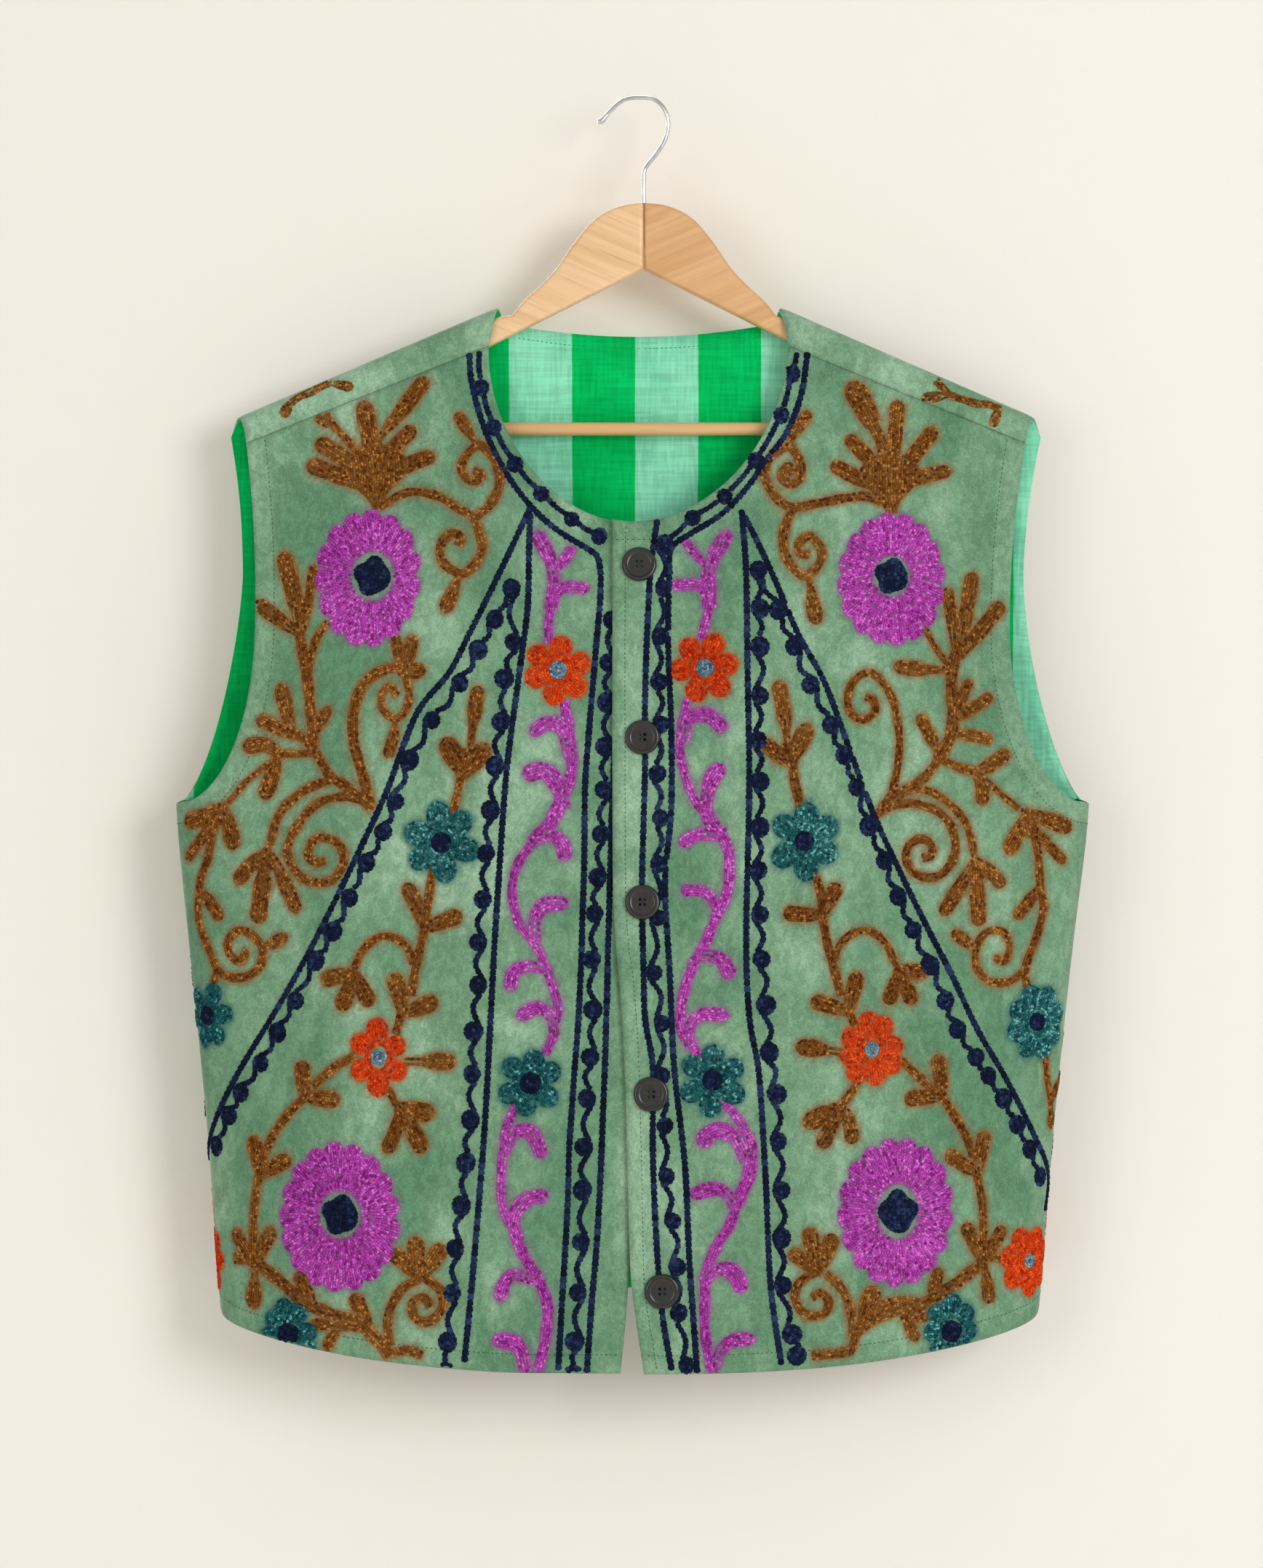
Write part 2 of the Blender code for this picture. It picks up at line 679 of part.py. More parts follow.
def hanger_outline(side):
    """One arm of the hanger, seen from the front, as points from its middle top round."""
    shoulder = []
    for step in range(9):
        reach = HANGER_SHOULDER_START + (HANGER_END - HANGER_SHOULDER_START) * step / 8
        x = HANGER_MIDDLE + side * reach
        height = ridge_height(x - body(RIDGE_HEIGHT, "middle")) - HANGER_UNDER_CLOTH
        shoulder.append((reach, height))
    outline = (*HANGER_TOP, *shoulder, *HANGER_TIP, *HANGER_BOTTOM)
    joint = SEAM_GAP / 2
    return [(HANGER_MIDDLE + side * max(reach, joint), height) for reach, height in outline]


def make_hanger(collection, cutters):
    wood = new_material("beech_wood", BEECH, 0.4)
    stem = add_cylinder("stem_hole", WIRE_RADIUS + STEM_HOLE_CLEARANCE, 0.08, 12, cutters)
    stem.matrix_world = Matrix.Translation((HANGER_MIDDLE, 0.0, STEM_BOTTOM - SEAM_GAP + 0.04))
    socket = add_cylinder(
        "bar_hole", BAR_RADIUS + SEAM_GAP, 2 * (BAR_HALF_LENGTH + SEAM_GAP), BAR_SIDES, cutters
    )
    lying = Matrix.Rotation(math.pi / 2, 4, "Y")
    socket.matrix_world = Matrix.Translation((HANGER_MIDDLE, 0.0, BAR_HEIGHT)) @ lying
    for side, name in ((-1, "hanger_arm_right"), (1, "hanger_arm_left")):
        curve = bpy.data.curves.new(name, "CURVE")
        curve.dimensions = "2D"
        curve.fill_mode = "BOTH"
        curve.extrude = HANGER_THICKNESS / 2 - HANGER_EDGE_ROUND
        curve.bevel_depth = HANGER_EDGE_ROUND
        curve.bevel_resolution = 1
        curve.offset = -HANGER_EDGE_ROUND
        points = hanger_outline(side)
        spline = curve.splines.new("POLY")
        spline.points.add(len(points) - 1)
        for point, (x, height) in zip(spline.points, points):
            point.co = (x, height, 0.0, 1.0)
        spline.use_cyclic_u = True
        flat = bpy.data.objects.new(name, curve)
        collection.objects.link(flat)
        flat.rotation_euler = (math.pi / 2, 0.0, 0.0)
        bpy.context.view_layer.update()
        arm = evaluated_copy(flat, name, collection, wood)
        cut(arm, stem)
        cut(arm, socket)
    bar = add_cylinder("hanger_bar", BAR_RADIUS, 2 * BAR_HALF_LENGTH, BAR_SIDES, collection)
    bar.matrix_world = socket.matrix_world
    bar.data.materials.append(wood)


def smooth_line(points, steps):
    """Points on a smooth curve through the given ones, steps to each stretch."""
    padded = [points[0], *points, points[-1]]
    line = []
    for a, b, c, d in zip(padded, padded[1:], padded[2:], padded[3:]):
        a, b, c, d = (Vector(p) for p in (a, b, c, d))
        for step in range(steps):
            t = step / steps
            line.append(
                0.5
                * (
                    2 * b
                    + (c - a) * t
                    + (2 * a - 5 * b + 4 * c - d) * t * t
                    + (3 * b - a - 3 * c + d) * t**3
                )
            )
    line.append(Vector(points[-1]))
    return line


def make_hook(collection):
    steel = new_material("hook_steel", STEEL, 0.2, 1.0)
    line = smooth_line(HOOK_PATH, HOOK_STEPS_BETWEEN)
    curve = bpy.data.curves.new("hanger_hook", "CURVE")
    curve.dimensions = "3D"
    curve.bevel_depth = WIRE_RADIUS
    curve.bevel_resolution = 2
    curve.use_fill_caps = True
    spline = curve.splines.new("POLY")
    spline.points.add(len(line) - 1)
    for point, place in zip(spline.points, line):
        point.co = (place.x, 0.0, place.y, 1.0)
    for back, swell in ((1, 0.75), (2, 1.0), (3, 0.85)):
        spline.points[-back].radius = 1 + (HOOK_TIP_RADIUS / WIRE_RADIUS - 1) * swell
    hook = bpy.data.objects.new("hanger_hook", curve)
    collection.objects.link(hook)
    curve.materials.append(steel)


def main():
    for obj in list(bpy.data.objects):
        bpy.data.objects.remove(obj)
    parts = bpy.data.collections.new("embroidered_vest")
    cutters = bpy.data.collections.new("cutters")
    for collection in (parts, cutters):
        bpy.context.scene.collection.children.link(collection)
    make_panels(parts)
    make_buttons(parts, cutters)
    make_hanger(parts, cutters)
    make_hook(parts)


main()
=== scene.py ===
# %% [markdown]
# # An embroidered velvet vest on a wooden hanger
#
# The CAD gives the size, the mount and the solids. This lesson gives the same vest its
# looks. Everything is in metres, +Z is up, the fronts face -Y, and the origin is the top
# of the inside of the hanger's hook.

# %% Load the frame
import math

import bmesh
import bpy
import numpy as np
from mathutils import Matrix, Vector
from mathutils.kdtree import KDTree


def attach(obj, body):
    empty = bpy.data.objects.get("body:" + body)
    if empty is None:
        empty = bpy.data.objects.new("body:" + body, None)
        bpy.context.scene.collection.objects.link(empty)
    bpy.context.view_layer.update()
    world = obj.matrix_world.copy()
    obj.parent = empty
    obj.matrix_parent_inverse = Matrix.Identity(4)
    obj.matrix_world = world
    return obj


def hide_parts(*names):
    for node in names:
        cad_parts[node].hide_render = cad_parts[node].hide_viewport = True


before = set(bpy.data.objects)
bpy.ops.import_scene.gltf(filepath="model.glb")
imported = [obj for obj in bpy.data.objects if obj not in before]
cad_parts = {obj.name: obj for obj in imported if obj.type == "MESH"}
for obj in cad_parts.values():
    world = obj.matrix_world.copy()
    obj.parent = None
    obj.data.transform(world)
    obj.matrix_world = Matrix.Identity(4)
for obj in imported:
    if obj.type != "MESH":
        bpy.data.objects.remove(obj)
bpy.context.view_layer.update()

# %% [markdown]
# ## The cloth as one smooth surface
#
# The real vest is cut flat and takes its form from the hanger and from its own weight.
# It could be simulated, but then the stitches would have no fixed place. So the cloth is
# written as a function instead: a point is given by how far it lies round the body from
# the middle, and by its height. The CAD uses the same numbers, so both agree.

# %% Sizes of the cloth
VELVET, LINING, SEAM_GAP, SIDE_GAP = 0.002, 0.001, 0.0003, 0.00004
SECTION_NAMES = ("height", "middle", "half_width", "front_depth", "back_depth")
BODY_SECTIONS = (
    (-0.835, -0.0042, 0.264, 0.064, 0.029), (-0.785, -0.004, 0.2672, 0.064, 0.029),
    (-0.67, -0.0036, 0.2762, 0.061, 0.029), (-0.56, -0.0032, 0.2874, 0.054, 0.028),
    (-0.46, -0.0022, 0.2978, 0.045, 0.027), (-0.35, -0.0024, 0.299, 0.038, 0.026),
    (-0.22, 0.0, 0.299, 0.032, 0.024), (-0.12, 0.0028, 0.299, 0.028, 0.022),
)
ROUNDNESS = {"front": 2.5, "back": 3.0}
SECTION_STEPS = 180
RIDGE_HEIGHT, RIDGE_RADIUS, DRAPE_LENGTH = -0.1345, 0.0105, 0.225
RIDGE_SLOPE = math.tan(math.radians(23.2))
SHOULDER_SEAM_HEIGHT = -0.1616
SHOULDER_SEAM_SLOPE = math.tan(math.radians(22.1))
NECK_CORNER, NECK_HALF_WIDTH = 0.09, 0.0975
FRONT_NECK_HEIGHT, FRONT_NECK_POWER, BACK_NECK_HEIGHT = -0.2765, 1.9, -0.154
UNDERARM_HEIGHT = -0.46
FRONT_ARMHOLE = {"narrowest": 0.2447, "turn_height": -0.345, "power": 2.0, "tip": 0.2535}
BACK_ARMHOLE = {"narrowest": 0.256, "turn_height": -0.31, "power": 1.5, "tip": 0.265}
WRAP_SHIFT_AT_NECK, WRAP_SHIFT_AT_TIP = 0.0075, -0.0115
FRONT_HEM_HEIGHT, SIDE_HEM_HEIGHT, BACK_HEM_HEIGHT = -0.824, -0.788, -0.778
HEM_POWER = 2.6
OVER_EDGE = (
    (-0.83, 0.006), (-0.79, 0.0), (-0.76, -0.0035), (-0.69, -0.0055), (-0.64, -0.0068), (-0.585, -0.0098),
    (-0.54, -0.0136), (-0.5, -0.015), (-0.27, -0.0152),
)
UNDER_EDGE = (
    (-0.83, -0.0108), (-0.8, -0.0075), (-0.76, -0.0045), (-0.64, 0.003), (-0.5, 0.01), (-0.27, 0.012),
)
UNDERLAP_DROP, UNDERLAP_START, UNDERLAP_FULL = 0.0042, -0.075, -0.035
HEM_CROWDING = 1.35  # columns stand closer together towards the side seams
NO_PLACE = 9.0  # stands in for the flat place of points that lie over the ridge
FOLD_NAMES = ("across", "height", "half_width", "half_length", "depth", "lean")
FOLDS = {
    "front": (
        (-0.133, -0.56, 0.022, 0.185, -0.006, 0.03), (-0.175, -0.6, 0.03, 0.2, 0.0055, 0.02),
        (-0.085, -0.64, 0.03, 0.2, 0.003, -0.05), (-0.215, -0.3, 0.018, 0.095, -0.003, 0.06),
        (-0.245, -0.6, 0.028, 0.16, -0.004, 0.06), (0.132, -0.64, 0.03, 0.19, 0.0045, -0.04),
        (0.175, -0.56, 0.026, 0.15, -0.0045, -0.04), (0.218, -0.31, 0.018, 0.1, -0.0036, -0.05),
        (0.165, -0.3, 0.026, 0.09, 0.0026, -0.04), (0.255, -0.61, 0.026, 0.15, -0.004, -0.05),
    ),
    "back": (
        (-0.2, -0.56, 0.03, 0.2, -0.005, 0.05), (-0.115, -0.62, 0.032, 0.17, 0.005, 0.03),
        (-0.015, -0.56, 0.034, 0.24, -0.0055, 0.0), (0.085, -0.64, 0.03, 0.17, 0.0045, -0.03),
        (0.175, -0.54, 0.032, 0.21, -0.005, -0.05), (0.245, -0.66, 0.026, 0.12, 0.0035, -0.03),
    ),
}

print("widest part of the body in metres:", 2 * max(row[2] for row in BODY_SECTIONS))


# %% The surface itself
def smooth_step(value):
    value = np.clip(value, 0.0, 1.0)
    return value * value * (3 - 2 * value)


def read_table(table, key, column):
    """A column's value at key, on a smooth curve through the table's rows."""
    rows = np.array(sorted(table))
    x, y = rows[:, 0], rows[:, column]
    slope = np.gradient(y, x)
    slope[1:-1] = (y[2:] - y[:-2]) / (x[2:] - x[:-2])
    key = np.clip(key, x[0], x[-1])
    i = np.clip(np.searchsorted(x, key, side="right") - 1, 0, len(x) - 2)
    span = x[i + 1] - x[i]
    t = (key - x[i]) / span
    value = y[i] * (2 * t**3 - 3 * t**2 + 1) + y[i + 1] * (3 * t**2 - 2 * t**3)
    return value + span * (slope[i] * (t**3 - 2 * t**2 + t) + slope[i + 1] * (t**3 - t**2))


def body(height, name):
    return read_table(BODY_SECTIONS, height, SECTION_NAMES.index(name))


def section_lengths(height, facing):
    """Arc lengths along half a level section, one row of steps for each height."""
    power = 2 / ROUNDNESS[facing]
    angle = np.linspace(0, math.pi / 2, SECTION_STEPS + 1)
    x = np.multiply.outer(body(height, "half_width"), np.sin(angle) ** power)
    y = np.multiply.outer(body(height, f"{facing}_depth"), np.abs(np.cos(angle)) ** power)
    steps = np.hypot(np.diff(x, axis=-1), np.diff(y, axis=-1))
    return np.concatenate([np.zeros((*steps.shape[:-1], 1)), np.cumsum(steps, axis=-1)], axis=-1)


def side_length(height, facing):
    return section_lengths(np.atleast_1d(height), facing)[:, -1]


def across_from_x(offset, height, facing):
    """The distance round the cloth of points this far from the middle, seen from the front."""
    offset, height = np.broadcast_arrays(np.atleast_1d(offset), np.atleast_1d(height))
    share = np.clip(np.abs(offset) / body(height, "half_width"), 0, 1)
    place = np.arcsin(share ** (ROUNDNESS[facing] / 2)) / (math.pi / 2) * SECTION_STEPS
    low = np.minimum(place.astype(int), SECTION_STEPS - 1)
    rows, n = section_lengths(height, facing), np.arange(len(offset))
    length = rows[n, low] + (place - low) * (rows[n, low + 1] - rows[n, low])
    return np.copysign(length, offset)


def ridge_height(offset):
    return RIDGE_HEIGHT - RIDGE_SLOPE * np.maximum(0.0, np.abs(offset) - NECK_CORNER)


def shoulder_seam_height(offset):
    return SHOULDER_SEAM_HEIGHT - SHOULDER_SEAM_SLOPE * (np.abs(offset) - NECK_HALF_WIDTH)


def fold_depth(across, height, facing):
    total = np.zeros_like(across)
    for fold in FOLDS[facing]:
        row = dict(zip(FOLD_NAMES, fold))
        up = (height - row["height"]) / row["half_length"]
        middle = row["across"] + row["lean"] * (height - row["height"])
        side = (across - middle) / row["half_width"]
        total += row["depth"] * np.exp(-side * side) * smooth_step(1.25 - np.abs(up))
    return total


def ripple(across, height):
    """The slight unevenness of worn velvet, under half a millimetre."""
    a, h = across * 1000, height * 1000
    wave = np.sin(a / 9.1 + 2.1 * np.sin(h / 31)) * np.sin(h / 14.3 + 1.7 * np.sin(a / 23))
    wave += 0.7 * np.sin(a / 5.3 - h / 17 + 1.3 * np.sin(h / 19)) * np.sin(h / 41 + a / 37)
    return 0.00016 * wave


def smooth_line(points, steps):
    """Points on a smooth curve through the given ones, steps to each stretch."""
    p = np.asarray(points, float)
    p = np.concatenate([2 * p[:1] - p[1:2], p, 2 * p[-1:] - p[-2:-1]])
    t = np.linspace(0, 1, steps, endpoint=False)[None, :, None]
    a, b, c, d = (p[k : len(p) - 3 + k, None] for k in range(4))
    curve = 0.5 * (2 * b + (c - a) * t + (2 * a - 5 * b + 4 * c - d) * t**2 + (3 * b - a - 3 * c + d) * t**3)
    return np.concatenate([curve.reshape(-1, p.shape[1]), p[-2:-1]])


def cloth_point(across, height, facing):
    """Points of the outer face, this far round from the middle."""
    rows, n = section_lengths(height, facing), np.arange(len(across))
    reach = np.clip(np.abs(across), 0, rows[:, -1])
    low = np.clip((rows < reach[:, None]).sum(axis=1) - 1, 0, SECTION_STEPS - 1)
    share = (reach - rows[n, low]) / (rows[n, low + 1] - rows[n, low])
    angle = (low + share) / SECTION_STEPS * math.pi / 2
    power = 2 / ROUNDNESS[facing]
    offset = np.copysign(body(height, "half_width") * np.sin(angle) ** power, across)
    fullness = np.abs(np.cos(angle)) ** power
    drape = smooth_step((ridge_height(offset) - height) / DRAPE_LENGTH)
    depth = body(height, f"{facing}_depth") * drape * fullness + RIDGE_RADIUS * (1 - drape)
    soft = fold_depth(across, height, facing) + ripple(across, height)
    depth = depth + soft * smooth_step(1.6 * fullness) * smooth_step(2.5 * drape)
    y = -depth if facing == "front" else depth
    return np.stack([body(height, "middle") + offset, y, height], axis=1)


def cloth_frame(across, height, facing, drop=0.0):
    """Points on the cloth, moved in by drop, with their outward normals and their across directions."""
    across, height = np.asarray(across, float), np.asarray(height, float)
    small, edge = 0.0006, side_length(height, facing)
    low, high = np.maximum(across - small, -edge), np.minimum(across + small, edge)
    along = cloth_point(high, height, facing) - cloth_point(low, height, facing)
    up = cloth_point(across, height + small, facing) - cloth_point(across, height - small, facing)
    normal = np.cross(along, up)
    if facing == "back":
        normal = -normal
    normal /= np.linalg.norm(normal, axis=1)[:, None]
    along /= np.linalg.norm(along, axis=1)[:, None]
    point = cloth_point(across, height, facing) - normal * np.reshape(drop, (-1, 1))
    return point, normal, along


def front_drop(across, side):
    """How far the under front lies behind the over one."""
    if side > 0:
        return np.zeros_like(across)
    return UNDERLAP_DROP * smooth_step((across - UNDERLAP_START) / (UNDERLAP_FULL - UNDERLAP_START))


chest = cloth_point(np.array([0.0, 0.1, 0.2]), np.full(3, -0.5), "front")
print("chest points in mm:", np.round(chest * 1000, 1).tolist())


# %% [markdown]
# ## The panels
#
# A tailor cuts two fronts and a back, and the back's shoulders run over the top and meet
# the fronts below the ridge. Each panel here is a grid that fills the space between its
# four edges. Thickness comes from a second, inner layer, and a rim closes the two, so
# that an edge looks like folded velvet and not like paper.


# %% Edges and grids of the panels
def spaced(points, cells, crowding=1.0):
    """Points of a line, spaced along it and closer towards its end."""
    points = np.asarray(points, float)
    length = np.concatenate([[0], np.cumsum(np.hypot(*np.diff(points, axis=0).T))])
    target = length[-1] * (1 - (1 - np.linspace(0, 1, cells + 1)) ** crowding)
    return np.stack([np.interp(target, length, points[:, k]) for k in range(2)], axis=1)


def filled_grid(bottom, top, left, right):
    """A grid between four edges, as rows from the bottom up."""
    v = np.linspace(0, 1, len(left))[:, None, None]
    u = np.linspace(0, 1, len(bottom))[None, :, None]
    corners = (1 - u) * (1 - v) * bottom[0] + u * (1 - v) * bottom[-1]
    corners = corners + (1 - u) * v * top[0] + u * v * top[-1]
    sides = (1 - u) * left[:, None] + u * right[:, None]
    return (1 - v) * bottom[None] + v * top[None] + sides - corners


def armhole_line(shape, tip_height, steps=60):
    """An armhole's edge from the underarm to the shoulder, as offset and height."""
    half_width = float(body(UNDERARM_HEIGHT, "half_width"))
    reach, fall = half_width - shape["narrowest"], shape["turn_height"] - UNDERARM_HEIGHT
    angle = math.pi / 2 * (1 - np.linspace(0, 1, steps + 1))
    power = 2 / shape["power"]
    x = half_width - reach * np.cos(angle) ** power
    z = shape["turn_height"] - fall * np.sin(angle) ** power
    t = np.linspace(0, 1, steps + 1)[1:]
    x_above = shape["narrowest"] + (shape["tip"] - shape["narrowest"]) * t * t
    z_above = shape["turn_height"] + (tip_height - shape["turn_height"]) * t
    return np.concatenate([x, x_above]), np.concatenate([z, z_above])


def side_edge(facing, shape, tip_height, seam_cells, armhole_cells):
    height = np.linspace(SIDE_HEM_HEIGHT, UNDERARM_HEIGHT, 30)
    seam = np.stack([side_length(height, facing) - SIDE_GAP / 2, height], axis=1)
    offset, height = armhole_line(shape, tip_height)
    armhole = np.stack([across_from_x(offset, height, facing), height], axis=1)
    armhole[0] = seam[-1]
    return np.concatenate([spaced(seam, seam_cells)[:-1], spaced(armhole, armhole_cells)])


def front_grid(side, edge_table, cells):
    """One front's grid in (side * across, height); cells is (neck, shoulder, seam, armhole)."""

    def edge_across(height):
        offset = read_table(edge_table, height, 1) - body(height, "middle")
        return side * across_from_x(offset, height, "front")

    low_edge = edge_across(np.array([FRONT_HEM_HEIGHT]))[0]
    low_side = side_length(SIDE_HEM_HEIGHT, "front")[0] - SIDE_GAP / 2
    across = np.linspace(low_edge, low_side, 81)
    rise = (SIDE_HEM_HEIGHT - FRONT_HEM_HEIGHT) * (np.abs(across) / low_side) ** HEM_POWER
    bottom = np.stack([across, FRONT_HEM_HEIGHT + rise], axis=1)
    start = read_table(edge_table, FRONT_NECK_HEIGHT, 1) - body(FRONT_NECK_HEIGHT, "middle")
    start = math.asin(side * float(start) / NECK_HALF_WIDTH)
    share = np.sin(np.linspace(start, math.pi / 2, 81))
    fall = np.clip(1 - np.abs(share) ** FRONT_NECK_POWER, 0, 1) ** (1 / FRONT_NECK_POWER)
    height = SHOULDER_SEAM_HEIGHT + (FRONT_NECK_HEIGHT - SHOULDER_SEAM_HEIGHT) * fall
    neck = np.stack([across_from_x(NECK_HALF_WIDTH * share, height, "front"), height - SEAM_GAP], axis=1)
    offset = np.linspace(NECK_HALF_WIDTH, FRONT_ARMHOLE["tip"], 41)
    height = shoulder_seam_height(offset) - SEAM_GAP
    shoulder = np.stack([across_from_x(offset, height, "front"), height], axis=1)
    top = np.concatenate([spaced(neck, cells[0])[:-1], spaced(shoulder, cells[1])])
    height = np.linspace(bottom[0, 1], top[0, 1], cells[2] + cells[3] + 1)
    left = np.stack([edge_across(height), height], axis=1)
    left[0], left[-1] = bottom[0], top[0]
    tip_height = float(shoulder_seam_height(FRONT_ARMHOLE["tip"])) - SEAM_GAP
    right = side_edge("front", FRONT_ARMHOLE, tip_height, cells[2], cells[3])
    right[-1] = top[-1]
    return filled_grid(spaced(bottom, cells[0] + cells[1], HEM_CROWDING), top, left, right)


def back_grid(shoulder_cells, neck_cells, seam_cells, armhole_cells):
    tip_height = float(ridge_height(BACK_ARMHOLE["tip"])) - RIDGE_RADIUS
    right = side_edge("back", BACK_ARMHOLE, tip_height, seam_cells, armhole_cells)
    share = np.linspace(-1, 1, 2 * shoulder_cells + neck_cells + 1)
    across = np.copysign(right[0, 0] * (1 - (1 - np.abs(share)) ** HEM_CROWDING), share)
    rise = (SIDE_HEM_HEIGHT - BACK_HEM_HEIGHT) * np.abs(across / right[0, 0]) ** HEM_POWER
    bottom = np.stack([across, BACK_HEM_HEIGHT + rise], axis=1)
    corner = float(ridge_height(NECK_CORNER)) - RIDGE_RADIUS
    share = np.linspace(-1, 1, 41)
    height = BACK_NECK_HEIGHT + (corner - BACK_NECK_HEIGHT) * share * share
    neck = np.stack([across_from_x(NECK_CORNER * share, height, "back"), height], axis=1)
    offset = np.linspace(NECK_CORNER, BACK_ARMHOLE["tip"], 41)
    height = ridge_height(offset) - RIDGE_RADIUS
    shoulder = np.stack([across_from_x(offset, height, "back"), height], axis=1)
    right_top = spaced(shoulder, shoulder_cells)
    left_top = right_top[::-1] * (-1, 1)
    top = np.concatenate([left_top[:-1], spaced(neck, neck_cells)[:-1], right_top])
    right[-1] = top[-1]
    return filled_grid(bottom, top, right * (-1, 1), right)


def wrap_frames(offset, start_height, ridge_cells, wrap_cells):
    """Columns of the back that turn over the ridge and end at the shoulder seam."""
    offset, start_height = offset[:, None], start_height[:, None]
    outward = np.sign(offset)
    t = (np.abs(offset) - NECK_CORNER) / (BACK_ARMHOLE["tip"] - NECK_CORNER)
    shift = outward * (WRAP_SHIFT_AT_NECK * (1 - t) + WRAP_SHIFT_AT_TIP * t)
    seam_height = shoulder_seam_height(offset + shift)
    arc = math.pi * RIDGE_RADIUS
    total = arc + start_height - seam_height
    turn = np.linspace(0, 1, ridge_cells + 1)[None, 1:]
    angle = math.pi * turn
    place = offset + shift * arc / total * turn
    base = start_height + ridge_height(place) - ridge_height(offset)
    middle = body(start_height, "middle")
    point = np.stack(
        [middle + place, RIDGE_RADIUS * np.cos(angle) + 0 * place, base + RIDGE_RADIUS * np.sin(angle)],
        axis=2,
    )
    normal = np.stack(
        [outward * RIDGE_SLOPE * np.sin(angle), np.cos(angle) + 0 * place, np.sin(angle) + 0 * place],
        axis=2,
    )
    normal /= np.linalg.norm(normal, axis=2)[:, :, None]
    share = np.linspace(0, 1, wrap_cells + 1)[None, 1:]
    place = offset + shift * (arc + (total - arc) * share) / total
    height = base[:, -1:] + (seam_height - base[:, -1:]) * share
    across = across_from_x(place.ravel(), height.ravel(), "front")
    low_point, low_normal, _ = cloth_frame(across, height.ravel(), "front")
    low_point = low_point.reshape(*place.shape, 3)
    low_normal = low_normal.reshape(*place.shape, 3)
    return np.concatenate([point, low_point], axis=1), np.concatenate([normal, low_normal], axis=1)


def front_columns(side, edge_table, cells):
    """One front as columns of (points, normals, flat places), the flat place signed by side."""
    grid = front_grid(side, edge_table, cells)
    flat = grid.reshape(-1, 2) * (side, 1)
    point, normal, _ = cloth_frame(flat[:, 0], flat[:, 1], "front", front_drop(flat[:, 0], side))
    shape = grid.shape[:2]
    point, normal, flat = (a.reshape(*shape, -1).swapaxes(0, 1) for a in (point, normal, flat))
    return list(zip(point, normal, flat))


def back_columns(shoulder_cells, neck_cells, seam_cells, armhole_cells, ridge_cells, wrap_cells):
    grid = back_grid(shoulder_cells, neck_cells, seam_cells, armhole_cells)
    flat = grid.reshape(-1, 2)
    point, normal, _ = cloth_frame(flat[:, 0], flat[:, 1], "back")
    point, normal = (a.reshape(*grid.shape[:2], 3) for a in (point, normal))
    tops = point[-1]
    offset = tops[:, 0] - body(tops[:, 2], "middle")
    wrap_point, wrap_normal = wrap_frames(offset, tops[:, 2], ridge_cells, wrap_cells)
    columns = []
    for i in range(grid.shape[1]):
        column = [point[:, i], normal[:, i], grid[:, i]]
        if not shoulder_cells < i < shoulder_cells + neck_cells:
            above = np.full((len(wrap_point[i]), 2), NO_PLACE)
            added = (wrap_point[i], wrap_normal[i], above)
            column = [np.concatenate(pair) for pair in zip(column, added)]
        columns.append(column)
    return columns


print("front shoulder's tip in metres:", round(float(shoulder_seam_height(FRONT_ARMHOLE["tip"])), 4))


# %% Closed walls of cloth
def link(obj):
    bpy.context.scene.collection.objects.link(obj)
    return obj


def cloth_shell(name, columns, drop, thickness, flip, edge_roll=0.0):
    """A closed wall between two offsets of the columns, its rims drawn in by edge_roll."""
    starts = np.concatenate([[0], np.cumsum([len(c[0]) for c in columns])])
    points = np.concatenate([c[0] for c in columns])
    normals = np.concatenate([c[1] for c in columns])
    quads = []
    for i in range(len(columns) - 1):
        j = np.arange(min(len(columns[i][0]), len(columns[i + 1][0])) - 1)
        a, b = starts[i] + j, starts[i + 1] + j
        quads.append(np.stack([a, b, b + 1, a + 1], axis=1))
    quads = np.concatenate(quads)
    ends = np.concatenate([quads[:, [k, (k + 1) % 4]] for k in range(4)])
    keys = ends[:, 0] * starts[-1] + ends[:, 1]
    back_keys = ends[:, 1] * starts[-1] + ends[:, 0]
    rim = ends[~np.isin(keys, back_keys)]
    depth = np.full(len(points), drop)
    depth[rim.ravel()] += edge_roll
    outer = points - normals * depth[:, None]
    inner_depth = np.full(len(points), drop + thickness)
    inner_depth[rim.ravel()] -= edge_roll
    inner = points - normals * inner_depth[:, None]
    count = len(points)
    walls = np.stack([rim[:, 1], rim[:, 0], rim[:, 0] + count, rim[:, 1] + count], axis=1)
    faces = np.concatenate([quads, quads[:, ::-1] + count, walls])
    if flip:
        faces = faces[:, ::-1]
    mesh = bpy.data.meshes.new(name)
    mesh.from_pydata(np.concatenate([outer, inner]).tolist(), [], faces.tolist())
    mesh.shade_smooth()
    return link(bpy.data.objects.new(name, mesh))


def grid_area(columns):
    """The area of the outer face, which is how much cloth was cut."""
    total = 0.0
    for (a, *_), (b, *_) in zip(columns, columns[1:]):
        n = min(len(a), len(b))
        first = np.cross(b[1:n] - a[: n - 1], a[1:n] - b[: n - 1])
        total += np.linalg.norm(first, axis=1).sum() / 2
    return float(total)


